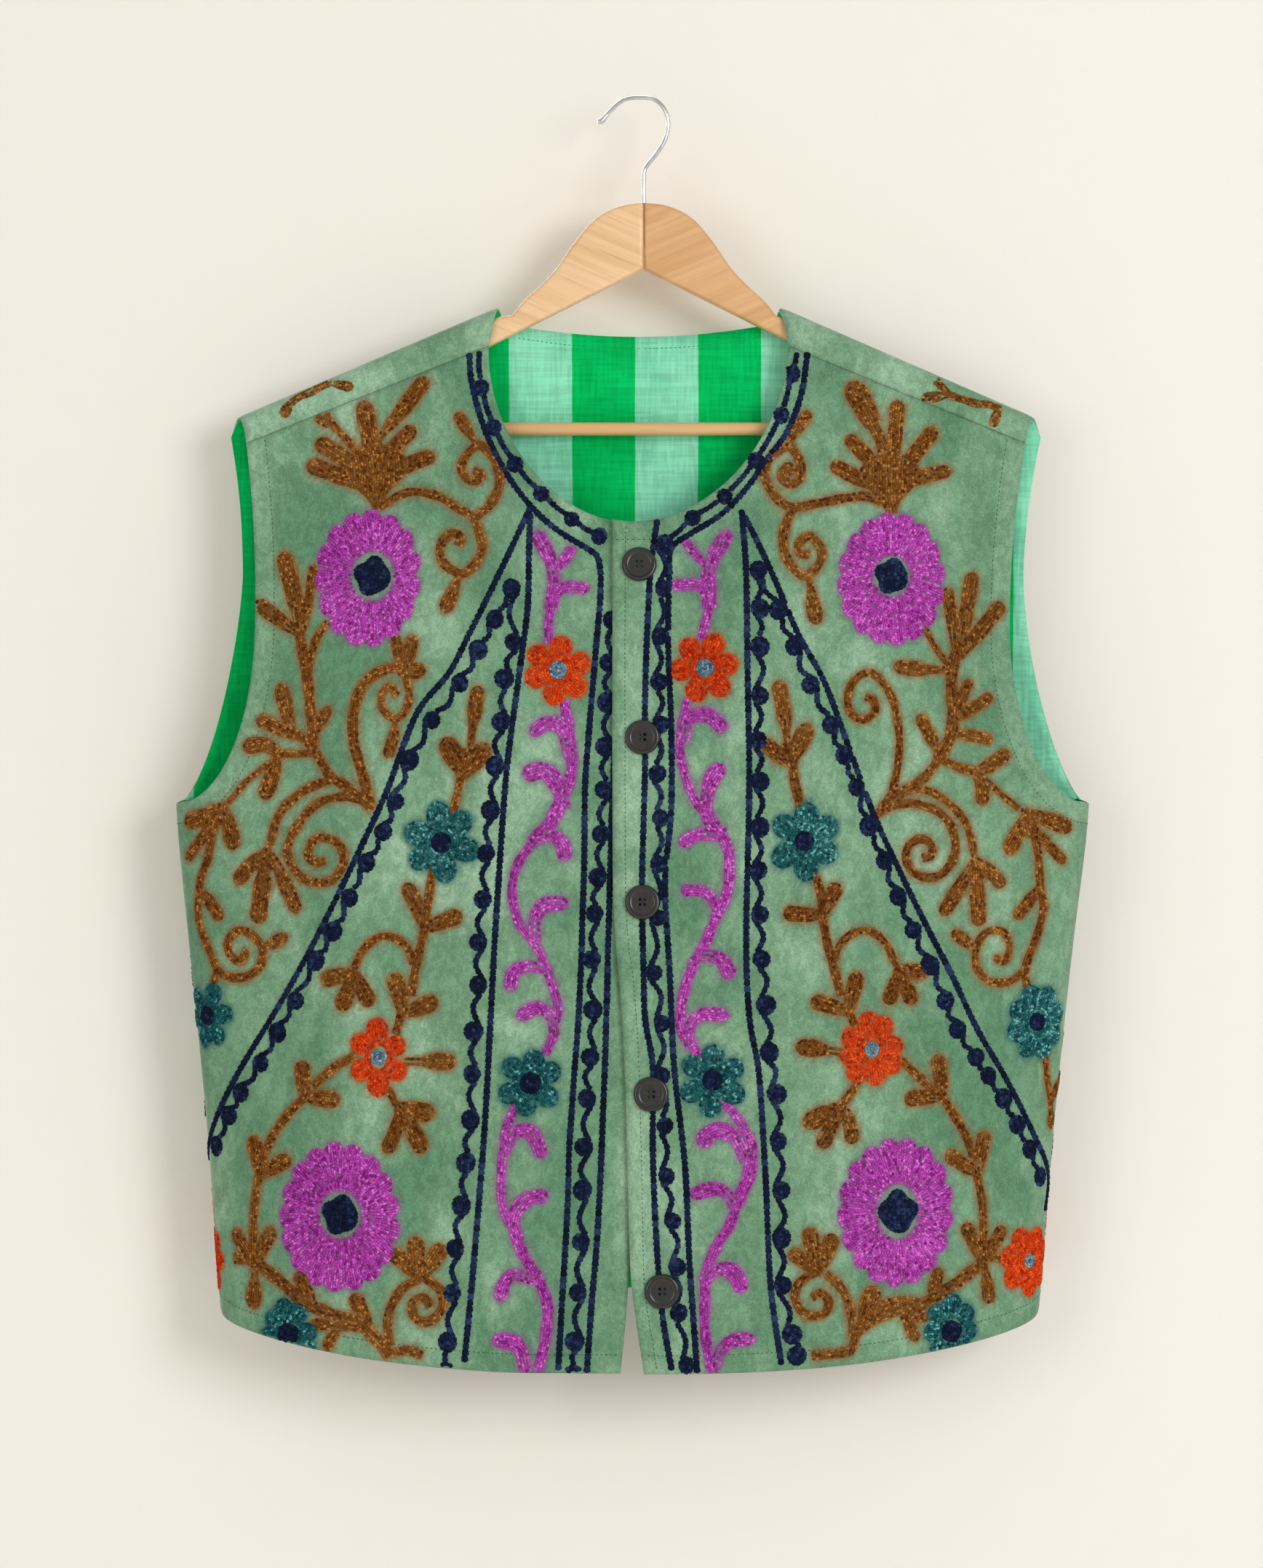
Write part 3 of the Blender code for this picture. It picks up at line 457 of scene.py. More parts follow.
EDGE_ROLL = 0.0005
FRONT_CELLS = (50, 50, 108, 90)
over_columns = front_columns(1, OVER_EDGE, FRONT_CELLS)
under_columns = front_columns(-1, UNDER_EDGE, FRONT_CELLS)
BACK_CELLS, WRAP_CELLS = (34, 30, 60, 56), (10, 4)
LINING_CELLS, LINING_WRAP_CELLS = (22, 20, 36, 32), (8, 3)
back_all = back_columns(*BACK_CELLS, *WRAP_CELLS)
lining_columns = back_columns(*LINING_CELLS, *LINING_WRAP_CELLS)
front_left = cloth_shell("front_left_velvet", over_columns, 0.0, VELVET, False, EDGE_ROLL)
front_right = cloth_shell("front_right_velvet", under_columns, 0.0, VELVET, True, EDGE_ROLL)
back = cloth_shell("back_velvet", back_all, 0.0, VELVET, True, EDGE_ROLL)
lining = cloth_shell("back_lining_cotton", lining_columns, VELVET + SEAM_GAP, LINING, True)
for name, columns in (("over", over_columns), ("under", under_columns), ("back", back_all)):
    print(name, "outer area in square metres:", round(grid_area(columns), 4))

# %% [markdown]
# ## Embroidery
#
# On the real vest every motif is filled with rows of chain stitch, worked in thick wool
# before the velvet was sewn up. So motifs that meet a seam are cut by it. A picture
# projected on the cloth would be quick, but it would have no relief. Here each motif is
# turned into rows, each row into stitches, and Geometry Nodes puts a small wool loop on
# every stitch. Places are in millimetres right of and above the hook, as they look from
# three metres in front, and widths are in millimetres on the cloth.

# %% Camera numbers and the way from the view to the cloth
CAMERA_DISTANCE, VIEW_MIDDLE, VIEW_HEIGHT = 3.0, (-0.0029, -0.4467), 1.0236


def on_cloth(places):
    """Seen places in mm, as (across, height) in mm on the front of the cloth."""
    view = np.asarray(places, float) / 1000
    depth = np.full(len(view), -0.04)
    for _ in range(6):
        share = (CAMERA_DISTANCE + depth) / CAMERA_DISTANCE
        x = VIEW_MIDDLE[0] + (view[:, 0] - VIEW_MIDDLE[0]) * share
        z = VIEW_MIDDLE[1] + (view[:, 1] - VIEW_MIDDLE[1]) * share
        across = across_from_x(x - body(z, "middle"), z, "front")
        depth = cloth_point(across, z, "front")[:, 1]
    return np.stack([across, z], axis=1) * 1000


print("a seen place on the cloth in mm:", on_cloth([(-127, -485)]).round(1).tolist())


# %% Motifs of the wearer's right front
# shape and colour, then for each band its width and the line down its middle
UNDER_BANDS = (
    ("palm", "ochre",
     (41.5, (-168, -267), (-170, -254), (-170, -239), (-172, -227)),
     (14.2, (-239, -485), (-242, -495), (-243, -505)), (16.1, (-267, -459), (-276, -467), (-279, -477)),
     (12.3, (-114, -443), (-112, -434), (-110, -424)), (12.3, (-184, -566), (-185, -574), (-185, -582)),
     (14.2, (-141, -772), (-142, -764), (-143, -756)), (13.3, (-158, -654), (-152, -664), (-149, -672)),),
    ("lobe", "ochre",
     (9.5, (-172, -254), (-192, -246), (-214, -238)), (9.5, (-172, -246), (-192, -233), (-208, -223)),
     (10.0, (-171, -246), (-174, -220), (-178, -197)), (9.0, (-170, -248), (-159, -229), (-145, -214)),
     (9.0, (-168, -251), (-152, -240), (-132, -232)),),
    ("stem", "ochre",
     (3.8, (-175, -239), (-187, -224), (-200, -210)),
     (4.3, (-167, -266), (-154, -258), (-144, -256), (-129, -259), (-114, -268), (-105, -273)),
     (4.8, (-105, -273), (-95, -264), (-89, -251), (-91, -237), (-98, -228), (-104, -224)),
     (4.3, (-103, -225), (-109, -230), (-114, -239), (-111, -247), (-105, -249), (-101, -245),
      (-106, -242)),
     (4.8, (-106, -272), (-103, -280), (-100, -291), (-104, -302), (-112, -309), (-120, -307), (-127, -300),
      (-127, -290), (-120, -283), (-114, -286), (-116, -291)),
     (5.2, (-220, -346), (-217, -363), (-214, -381), (-212, -404), (-210, -424)),
     (3.8, (-214, -374), (-211, -359), (-207, -349), (-201, -341)),
     (4.3, (-210, -423), (-217, -418), (-223, -413)), (3.8, (-209, -426), (-220, -427), (-232, -427)),
     (2.8, (-239, -433), (-254, -445), (-266, -459)),
     (4.8, (-209, -426), (-205, -433), (-199, -442), (-188, -450), (-172, -463)),
     (5.2, (-173, -461), (-178, -442), (-184, -420), (-184, -398), (-177, -381), (-166, -373),
      (-153, -370)),
     (3.8, (-150, -376), (-148, -390), (-152, -401), (-158, -404), (-165, -398), (-166, -389), (-161, -383),
      (-156, -389)),
     (4.3, (-178, -456), (-194, -445), (-208, -447), (-222, -455), (-233, -467), (-239, -486)),
     (4.3, (-174, -461), (-189, -455), (-207, -459), (-219, -471), (-227, -486), (-226, -497), (-219, -507),
      (-209, -511), (-198, -509), (-191, -499), (-193, -487), (-203, -482), (-211, -484), (-214, -493),
      (-209, -498), (-203, -497)),
     (4.3, (-276, -475), (-279, -493), (-284, -509), (-286, -525), (-285, -538), (-280, -552),
      (-273, -569)),
     (4.3, (-274, -569), (-264, -573), (-253, -572), (-245, -565), (-244, -554), (-250, -546), (-259, -542),
      (-266, -549), (-265, -558), (-258, -562), (-254, -555)),
     (4.3, (-274, -569), (-276, -581), (-277, -589)), (3.8, (-114, -441), (-117, -455), (-120, -468)),
     (4.3, (-132, -500), (-135, -518), (-138, -541)),
     (4.3, (-138, -541), (-141, -554), (-144, -568), (-147, -585)),
     (3.8, (-145, -564), (-149, -554), (-158, -547), (-168, -547), (-178, -555), (-184, -567)),
     (4.3, (-153, -596), (-155, -603), (-157, -610)), (4.3, (-183, -624), (-197, -632), (-211, -644)),
     (4.3, (-216, -651), (-226, -661), (-235, -673), (-241, -685), (-244, -695)),
     (4.3, (-246, -702), (-249, -721), (-250, -742), (-250, -760)),
     (5.7, (-248, -759), (-254, -757), (-262, -756)),
     (6.2, (-245, -761), (-229, -774), (-217, -785), (-203, -791), (-189, -796), (-179, -800), (-168, -811),
      (-161, -820)),
     (4.8, (-178, -802), (-188, -801), (-199, -802)),
     (4.8, (-162, -819), (-154, -817), (-146, -817), (-140, -820)),
     (4.8, (-161, -813), (-162, -798), (-159, -786), (-152, -776), (-142, -770)),
     (4.8, (-138, -769), (-127, -778), (-127, -790), (-136, -798), (-145, -794), (-145, -785), (-138, -782),
      (-134, -788)),
     (3.8, (-162, -646), (-159, -651), (-156, -658)),),
    ("leaf", "ochre",
     (9.0, (-200, -213), (-209, -201)), (10.0, (-219, -347), (-223, -324), (-230, -296)),
     (8.5, (-219, -349), (-232, -340), (-248, -328)), (5.7, (-217, -347), (-214, -329), (-210, -304)),
     (6.6, (-211, -416), (-206, -406), (-200, -397)), (8.5, (-224, -415), (-228, -399), (-232, -382)),
     (8.1, (-222, -416), (-234, -410), (-247, -404)), (9.0, (-232, -427), (-243, -421), (-256, -423)),
     (9.0, (-234, -425), (-237, -440), (-243, -456)), (6.2, (-153, -372), (-155, -361), (-157, -350)),
     (8.1, (-152, -372), (-148, -361), (-146, -350)), (9.5, (-155, -373), (-146, -373), (-138, -372)),
     (8.5, (-240, -490), (-250, -498), (-261, -511)), (10.0, (-241, -493), (-244, -514), (-247, -537)),
     (8.1, (-238, -492), (-230, -510), (-221, -530)), (9.5, (-270, -463), (-282, -468), (-294, -472)),
     (6.6, (-275, -469), (-283, -482), (-293, -496)), (9.5, (-269, -463), (-265, -475), (-263, -489)),
     (7.6, (-285, -515), (-278, -524), (-271, -535)), (11.4, (-113, -442), (-118, -430), (-125, -417)),
     (10.4, (-113, -442), (-105, -432), (-97, -421)), (8.5, (-137, -543), (-142, -529), (-150, -512)),
     (9.0, (-139, -542), (-127, -537), (-114, -532)), (9.5, (-184, -570), (-194, -572), (-205, -575)),
     (9.5, (-184, -570), (-188, -582), (-193, -594)), (9.5, (-184, -570), (-179, -580), (-173, -591)),
     (9.5, (-152, -599), (-154, -586), (-158, -571)), (10.0, (-153, -597), (-142, -593), (-130, -588)),
     (9.0, (-216, -653), (-217, -642), (-218, -628)), (9.5, (-218, -650), (-206, -652), (-194, -653)),
     (9.0, (-245, -704), (-247, -691), (-250, -677)), (9.0, (-247, -703), (-237, -697), (-226, -691)),
     (8.1, (-249, -762), (-255, -751), (-262, -738)), (8.5, (-249, -762), (-244, -750), (-237, -737)),
     (8.1, (-210, -788), (-215, -778), (-221, -766)), (9.0, (-173, -804), (-179, -792), (-184, -780)),
     (6.2, (-194, -801), (-202, -800), (-212, -799)), (6.2, (-194, -803), (-199, -809), (-202, -816)),
     (9.0, (-141, -770), (-150, -760), (-160, -752)), (9.5, (-142, -770), (-143, -758), (-144, -743)),
     (9.5, (-141, -770), (-134, -760), (-126, -748)), (10.4, (-156, -657), (-144, -660), (-132, -662)),
     (9.5, (-155, -658), (-146, -672), (-139, -687)), (8.1, (-154, -659), (-157, -673), (-163, -687)),),
    ("club", "ochre",
     (9.0, (-171, -232), (-166, -219), (-156, -207), (-137, -182)),
     (7.1, (-104, -226), (-109, -217), (-117, -205)), (8.1, (-114, -307), (-119, -320), (-125, -334)),
     (7.1, (-156, -402), (-158, -415), (-162, -429)), (7.1, (-247, -554), (-238, -551), (-228, -546)),
     (8.1, (-108, -424), (-106, -405), (-103, -383)), (9.5, (-151, -628), (-135, -628), (-118, -628)),
     (9.5, (-249, -760), (-249, -775), (-250, -789)),),
    ("shoot", "magenta",
     (8.1, (-53, -315), (-56, -300), (-65, -282)), (6.6, (-54, -325), (-47, -318), (-31, -318)),
     (7.6, (-43, -430), (-49, -410), (-59, -407), (-68, -414)),
     (9.5, (-47, -463), (-52, -447), (-60, -438), (-73, -441)),
     (8.1, (-65, -482), (-55, -480), (-48, -486), (-46, -496)),
     (8.1, (-66, -549), (-66, -536), (-60, -526), (-45, -524)),
     (7.1, (-59, -567), (-72, -566), (-80, -570), (-82, -581)),
     (7.1, (-53, -611), (-56, -598), (-65, -593), (-77, -599)),
     (8.1, (-86, -687), (-79, -674), (-68, -675), (-61, -690)),
     (8.1, (-77, -745), (-80, -731), (-73, -719), (-58, -715)),
     (7.1, (-67, -771), (-80, -767), (-86, -773), (-89, -784)),
     (8.5, (-72, -831), (-75, -817), (-81, -811), (-93, -810)),),
    ("leaf", "magenta",
     (5.7, (-53, -308), (-48, -301), (-41, -291)),),
    ("stem", "magenta",
     (6.6, (-53, -310), (-54, -322), (-56, -333)), (4.3, (-55, -327), (-57, -340), (-57, -355)),
     (5.2, (-47, -392), (-44, -411), (-42, -428), (-43, -442), (-48, -458)),
     (6.6, (-48, -456), (-56, -472), (-68, -485)),
     (4.3, (-67, -484), (-77, -499), (-81, -517), (-76, -538), (-66, -551), (-60, -563), (-55, -577),
      (-51, -593), (-54, -610), (-59, -623)),
     (4.3, (-78, -656), (-84, -670), (-87, -688), (-88, -707), (-87, -723), (-80, -739)),
     (5.2, (-81, -737), (-73, -755), (-64, -770), (-58, -786), (-58, -800), (-60, -814), (-64, -830)),),
)
# colour, centre, half width, half height, petals, turn in degrees, middle's colour, its radius
UNDER_FLOWERS = (
    ("teal", (-127, -485), 24.0, 25.4, 6, 40, "navy", 6.2),
    ("teal", (-69, -642), 21.4, 21.8, 6, 22, "navy", 6.6),
    ("teal", (-280, -598), 19.0, 21.4, 6, 10, "navy", 5.7),
    ("teal", (-227, -806), 18.1, 22.8, 8, 10, "navy", 7.1),
    ("orange", (-51, -372), 21.8, 22.3, 6, 20, "steel", 5.7),
    ("orange", (-168, -625), 18.1, 24.2, 6, 30, "steel", 5.2),
    ("orange", (-275, -756), 20.1, 21.4, 7, 0, "steel", 4.8),
)
# centre, half width, half height, scallops, hole's centre, its half width and height, middle's radius
UNDER_ROSETTES = (
    ((-175, -312), 34.2, 44.2, 15, (-172, -311), 13.8, 16.1, 11.9),
    ((-194, -730), 39.4, 47.5, 17, (-193, -728), 13.8, 15.2, 11.9),
)
# each string of beads: the bead's radius, how far to its side the wavy line passes as a share
# of that (+ is the viewer's right, going down), how many places the line has before the first
# bead, and the places in order
UNDER_BEADS = (
    (4.8, 0.2, 1, (-103, -161), (-101, -188), (-93, -214), (-79, -238), (-62, -257), (-42, -273),
     (-24, -284)),
    (5.7, -0.7, 0, (-81, -319), (-92, -339), (-103, -359), (-115, -381), (-133, -405), (-148, -431),
     (-157, -458), (-165, -478), (-176, -498), (-187, -521), (-198, -543), (-209, -562), (-222, -588),
     (-234, -609), (-245, -629), (-258, -648), (-266, -663), (-274, -683)),
    (5.7, 0.7, 0, (-81, -319), (-80, -354), (-86, -378), (-88, -406), (-92, -435), (-95, -464), (-98, -492),
     (-100, -522), (-103, -550), (-103, -578), (-106, -608), (-107, -636), (-108, -666), (-111, -694),
     (-114, -722), (-118, -750), (-120, -779), (-123, -811), (-124, -830)),
    (5.7, 0.7, 0, (-16, -339), (-18, -367), (-19, -393), (-20, -422), (-21, -450), (-23, -479), (-25, -507),
     (-27, -531), (-29, -561), (-28, -594), (-30, -625), (-32, -652), (-34, -684), (-35, -712), (-36, -746),
     (-38, -779), (-40, -811), (-41, -833)),
)
UNDER_LINES = (
    ((-109, -162), (-107, -186), (-98, -217), (-84.5, -244), (-68, -266), (-52, -280), (-32, -292),
     (-25, -298), (-23, -310)),
    ((-69, -266), (-82, -294), (-96, -323), (-109, -349), (-122, -374), (-141, -397), (-152, -422),
     (-166, -459), (-203, -536), (-230, -586), (-259, -634), (-277, -674), (-279, -695), (-278, -711)),
    ((-69, -266), (-70, -296), (-71, -333), (-77, -380), (-85, -444), (-91, -530), (-95, -602), (-99, -674),
     (-106, -761), (-112, -824)),
    ((-23, -310), (-24, -333), (-28, -380), (-33, -444), (-34, -505), (-37, -590), (-43, -674), (-45, -728),
     (-51, -830)),
    ((-14, -419), (-16, -467), (-17, -505), (-19, -590), (-22, -674), (-25, -738), (-29, -787),
     (-32, -831)),
)
print("shapes of the right front:", sum(len(group) - 2 for group in UNDER_BANDS))

# %% Motifs of the wearer's left front
OVER_BANDS = (
    ("palm", "ochre",
     (40.5, (167, -270), (166, -259), (166, -244), (166, -232)),
     (11.4, (221, -493), (222, -502), (222, -511)), (12.3, (252, -463), (256, -472), (259, -481)),
     (11.4, (101, -437), (100, -429), (99, -420)), (12.3, (170, -563), (172, -571), (174, -579)),
     (13.3, (120, -768), (118, -760), (116, -753)), (14.2, (138, -653), (131, -661), (127, -667)),),
    ("lobe", "ochre",
     (8.5, (165, -256), (145, -247), (128, -238)), (8.5, (165, -248), (151, -233), (138, -220)),
     (8.5, (167, -246), (169, -222), (171, -197)), (8.5, (168, -251), (180, -234), (195, -215)),
     (8.1, (169, -256), (185, -247), (205, -242)),),
    ("stem", "ochre",
     (6.2, (164, -239), (160, -223), (155, -213)),
     (4.8, (165, -265), (151, -259), (137, -260), (121, -263), (105, -266), (95, -263), (87, -253),
      (84, -243), (88, -233), (98, -226)),
     (4.8, (101, -226), (107, -236), (107, -247), (101, -251), (95, -246), (99, -239), (103, -244)),
     (4.8, (103, -266), (98, -277), (96, -287), (98, -298), (104, -307), (111, -311), (119, -304),
      (121, -294), (114, -285), (107, -289), (107, -296), (113, -297)),
     (3.3, (188, -344), (195, -357), (204, -369)),
     (6.2, (209, -360), (206, -377), (207, -397), (206, -414), (201, -424), (197, -431)),
     (4.8, (198, -430), (189, -442), (174, -452), (157, -467)),
     (4.3, (199, -430), (211, -436), (224, -439)), (3.3, (228, -444), (238, -453), (250, -463)),
     (3.8, (158, -465), (167, -452), (171, -434), (172, -415), (168, -393), (160, -379), (151, -374),
      (142, -380), (138, -391), (141, -401), (149, -405), (156, -399), (155, -392), (150, -390)),
     (4.3, (158, -466), (171, -460), (185, -460), (199, -466), (207, -477), (208, -493), (199, -506),
      (186, -507), (178, -500), (177, -489), (184, -483), (192, -485), (193, -493), (187, -495)),
     (3.8, (161, -462), (174, -453), (186, -450), (200, -456), (212, -467), (218, -479), (221, -494)),
     (4.3, (256, -470), (262, -488), (264, -512), (266, -528), (262, -545), (256, -561), (254, -570),
      (256, -583)),
     (3.8, (255, -568), (243, -576), (230, -575), (222, -565), (223, -551), (230, -543), (239, -543),
      (244, -552), (241, -562), (234, -560)),
     (3.8, (267, -623), (269, -642), (271, -662)), (4.8, (102, -433), (104, -447), (108, -464)),
     (4.3, (114, -500), (120, -515), (122, -534)),
     (4.3, (122, -534), (125, -551), (129, -566), (134, -585)),
     (3.8, (129, -564), (133, -552), (142, -544), (153, -543), (163, -551), (170, -565)),
     (4.3, (139, -594), (141, -600), (143, -606)), (4.3, (173, -627), (185, -638), (198, -650)),
     (4.3, (199, -650), (208, -663), (217, -680), (220, -690)),
     (4.3, (222, -699), (226, -719), (227, -739), (227, -757)),
     (4.8, (228, -755), (234, -756), (240, -756)),
     (6.2, (225, -760), (210, -772), (199, -779), (187, -786), (167, -791), (152, -798), (143, -805)),
     (4.8, (144, -803), (142, -812), (139, -817), (126, -819), (115, -820)),
     (4.3, (145, -801), (158, -788), (172, -784), (184, -785)),
     (4.8, (142, -807), (140, -790), (134, -776), (124, -766)),
     (4.3, (118, -765), (107, -772), (104, -783), (111, -793), (122, -793), (126, -785), (121, -779),
      (115, -782)),
     (4.3, (146, -637), (142, -646), (136, -654)),),
    ("leaf", "ochre",
     (12.8, (158, -220), (151, -204), (140, -185)), (7.6, (209, -362), (207, -342), (203, -319)),
     (8.5, (210, -365), (215, -339), (220, -309)), (8.5, (210, -365), (223, -349), (239, -329)),
     (7.1, (198, -427), (192, -415), (185, -402)), (6.6, (207, -403), (212, -392), (218, -379)),
     (6.6, (207, -406), (219, -398), (232, -389)), (6.6, (205, -413), (218, -415), (232, -418)),
     (8.1, (221, -439), (232, -434), (243, -426)), (8.1, (222, -437), (226, -448), (226, -460)),
     (8.1, (222, -496), (230, -503), (240, -513)), (9.0, (222, -497), (223, -517), (224, -539)),
     (8.1, (221, -497), (212, -513), (200, -532)), (9.0, (254, -465), (269, -470), (284, -476)),
     (9.0, (255, -467), (249, -479), (243, -492)), (6.2, (256, -470), (268, -485), (280, -498)),
     (7.1, (264, -513), (257, -523), (248, -534)), (6.6, (270, -657), (274, -646), (277, -635)),
     (9.0, (102, -434), (93, -428), (84, -419)), (10.0, (101, -434), (106, -422), (113, -408)),
     (9.0, (121, -534), (125, -525), (132, -512)), (9.0, (123, -532), (111, -532), (97, -531)),
     (9.0, (170, -568), (179, -569), (190, -570)), (9.0, (171, -568), (176, -578), (181, -590)),
     (9.0, (171, -568), (169, -579), (164, -590)), (9.0, (139, -598), (141, -585), (145, -570)),
     (9.0, (140, -596), (128, -592), (115, -588)), (8.5, (200, -654), (199, -640), (197, -624)),
     (9.0, (201, -651), (189, -651), (176, -653)), (8.5, (223, -703), (225, -689), (228, -674)),
     (8.5, (225, -702), (215, -696), (203, -688)), (8.1, (226, -759), (221, -747), (215, -734)),
     (8.1, (227, -759), (233, -748), (240, -736)), (7.6, (192, -785), (195, -775), (198, -763)),
     (10.9, (147, -802), (151, -790), (156, -775)), (6.6, (174, -793), (182, -794), (193, -794)),
     (6.6, (174, -794), (179, -801), (183, -810)), (8.5, (122, -765), (112, -760), (101, -752)),
     (9.0, (120, -765), (116, -752), (113, -737)), (9.0, (120, -765), (124, -754), (129, -741)),
     (10.4, (135, -656), (124, -662), (110, -669)), (8.5, (134, -657), (128, -669), (121, -684)),
     (8.5, (134, -656), (139, -667), (142, -681)),),
    ("club", "ochre",
     (7.1, (98, -228), (104, -217), (113, -204)), (8.5, (113, -310), (115, -325), (118, -342)),
     (8.5, (206, -372), (188, -372), (169, -370)), (7.1, (224, -557), (217, -551), (207, -543)),
     (7.6, (271, -655), (271, -663), (271, -671)), (8.5, (100, -429), (97, -403), (93, -380)),
     (9.5, (136, -622), (121, -620), (105, -618)), (8.1, (227, -756), (229, -770), (231, -785)),),
    ("shoot", "magenta",
     (8.1, (47, -315), (51, -298), (61, -282)), (6.6, (48, -327), (41, -317), (24, -317)),
     (8.1, (31, -418), (35, -404), (48, -402), (58, -412)),
     (8.5, (45, -466), (47, -452), (50, -442), (57, -435)),
     (7.1, (56, -482), (48, -480), (40, -480), (29, -486)),
     (6.2, (53, -532), (51, -524), (44, -517), (30, -516)),
     (8.1, (41, -558), (50, -559), (57, -563), (62, -573)),
     (7.1, (34, -616), (36, -604), (44, -597), (60, -598)),
     (9.0, (72, -692), (64, -677), (52, -673), (41, -682)),
     (7.6, (66, -725), (59, -714), (50, -711), (36, -715)),
     (8.5, (44, -772), (52, -764), (63, -765), (70, -778)),
     (7.1, (50, -830), (56, -816), (64, -810), (77, -809)),),
    ("leaf", "magenta",
     (4.8, (47, -306), (40, -298), (32, -288)),),
    ("stem", "magenta",
     (7.1, (47, -308), (48, -319), (48, -332)), (4.3, (48, -327), (46, -340), (42, -353)),
     (4.3, (34, -391), (30, -409), (29, -427), (33, -444), (39, -458), (48, -469)),
     (7.1, (45, -461), (49, -472), (56, -480)),
     (5.2, (53, -474), (60, -489), (61, -505), (59, -519), (52, -534)),
     (4.8, (53, -532), (46, -549), (37, -566), (30, -588), (29, -603)),
     (7.1, (30, -598), (32, -609), (37, -618)), (4.8, (34, -613), (40, -623), (44, -629)),
     (4.3, (56, -654), (66, -664), (73, -676)), (6.2, (70, -671), (75, -685), (74, -701), (66, -721)),
     (4.8, (67, -719), (61, -735), (53, -748), (46, -765), (45, -785), (45, -804), (48, -824), (51, -833)),),
)
OVER_FLOWERS = (
    ("teal", (110, -484), 22.8, 24.6, 6, 30, "navy", 5.9),
    ("teal", (50, -640), 21.8, 22.6, 6, 26, "navy", 6.2),
    ("teal", (262, -602), 22.0, 24.0, 8, 18, "navy", 5.6),
    ("teal", (206, -804), 17.6, 23.8, 8, 0, "navy", 6.6),
    ("orange", (45, -371), 21.4, 22.3, 6, 8, "steel", 5.7),
    ("orange", (154, -620), 20.4, 23.6, 8, 10, "steel", 4.8),
    ("orange", (257, -758), 23.0, 22.8, 7, 15, "steel", 4.8),
)
OVER_ROSETTES = (
    ((167, -313), 34.7, 42.8, 16, (167, -311), 11.9, 13.3, 10.9),
    ((170, -726), 37.5, 47.0, 17, (171, -726), 13.3, 17.6, 12.8),
)
OVER_BEADS = (
    (5.0, -0.15, 1, (106, -162), (102, -179), (95, -206), (78.5, -235.5), (58, -259), (37, -273),
     (19, -289)),
    (5.7, -0.7, 0, (80, -307), (81, -332), (81, -357), (81, -389), (80, -418), (81, -445), (81, -475),
     (80, -503), (81, -532), (82, -561), (85, -591), (87, -622), (92, -649), (93, -680), (95, -712),
     (95, -743), (96, -774), (102, -806), (105, -820)),
    (5.7, 0.7, 0, (80, -307), (93, -333), (103, -357), (114, -382), (127, -408), (136, -428), (144, -449),
     (152, -474), (162, -497), (171, -520), (181, -542), (192, -565), (202, -588), (210, -607), (222, -625),
     (230, -637), (240, -652), (249, -669), (257, -685), (264, -703)),
    (5.2, -0.7, 0, (18, -292), (18, -319), (16, -350), (15, -380), (16, -408), (14, -440), (16, -469),
     (15, -499), (14, -534), (12, -570), (17, -603), (17, -637), (19, -670), (20, -703), (24, -732),
     (27, -762), (28, -792), (33, -826)),
)
OVER_LINES = (
    ((112, -165), (108, -192), (98.5, -217), (86, -234), (75, -250), (62, -265), (51, -274), (36, -283),
     (23, -293), (22, -310)),
    ((14, -274), (11, -294), (9, -314), (6, -389), (6, -430), (4, -509), (5, -569), (6, -600), (11, -632),
     (11, -685), (13, -738), (17, -791), (24, -833)),
    ((22, -298), (21, -352), (23, -408), (23, -464), (19, -511), (22, -569), (25, -632), (32, -696),
     (35, -760), (40, -831)),
    ((69, -268), (72, -310), (73, -380), (74, -444), (72, -545), (74, -598), (80, -633), (83, -675),
     (85, -711), (88, -775), (95, -826)),
    ((69, -268), (80, -290), (91, -314), (106, -349), (123, -380), (138, -420), (155, -466), (171, -501),
     (188, -536), (206, -571), (223, -607), (241, -638), (260, -676), (269, -703), (267, -725)),
)
print("shapes of the left front:", sum(len(group) - 2 for group in OVER_BANDS))

# %% [markdown]
# Chain stitch runs along a stem and fills a leaf in rows side by side. Drawing each stitch
# by hand would take days, so a class works the rows out: bands for stems and leaves, rings
# and petals for flowers, rays for the rosettes, and strings of beads. What is sewn first
# keeps its place, and a later stitch that would lie on top of it is left out.

# %% From motifs to rows of stitches
PITCH, ROW = 2.0, 1.75  # distance between stitches and between rows, in mm
NEAREST, NEAREST_ROPE = 1.12, 0.8  # how near two stitches may lie, in mm
BLOB_SIZE, BEAD_LINE_SIZE, LINE_SIZE, ROPE_PITCH = 1.3, 1.75, 1.95, 2.05  # thick navy wool
SEAM_MARGIN, STRIP_MARGIN = 1.2, 0.4  # how far the wool stays from a panel's outline, in mm
# how much wider than its table's number each shape is worked
FULLNESS = {"stem": 1.24, "leaf": 1.12, "club": 1.12, "shoot": 1.12, "lobe": 1.14, "palm": 1.04, "petal": 1.0}
MAGENTA_FULLNESS = 1.05
# the share of its full width that a shape starts with, and where along it the widening
# begins and how long that takes
WIDENING = {
    "club": (0.45, 0.2, 0.45), "shoot": (0.78, 0.2, 0.45), "lobe": (0.85, 0.2, 0.4),
    "petal": (0.8, 0.0, 0.5), "leaf": (0.52, 0.0, 0.5), "palm": (0.16, 0.0, 0.75),
}
PALM_ROUND_FROM, PALM_ROUND_LENGTH = 0.6, 0.42
PETAL_WIDTH, PETAL_START, PETAL_MIDDLE, RINGS_END = 0.325, 0.34, 0.68, 0.56  # shares of a radius
rng = np.random.default_rng(7)


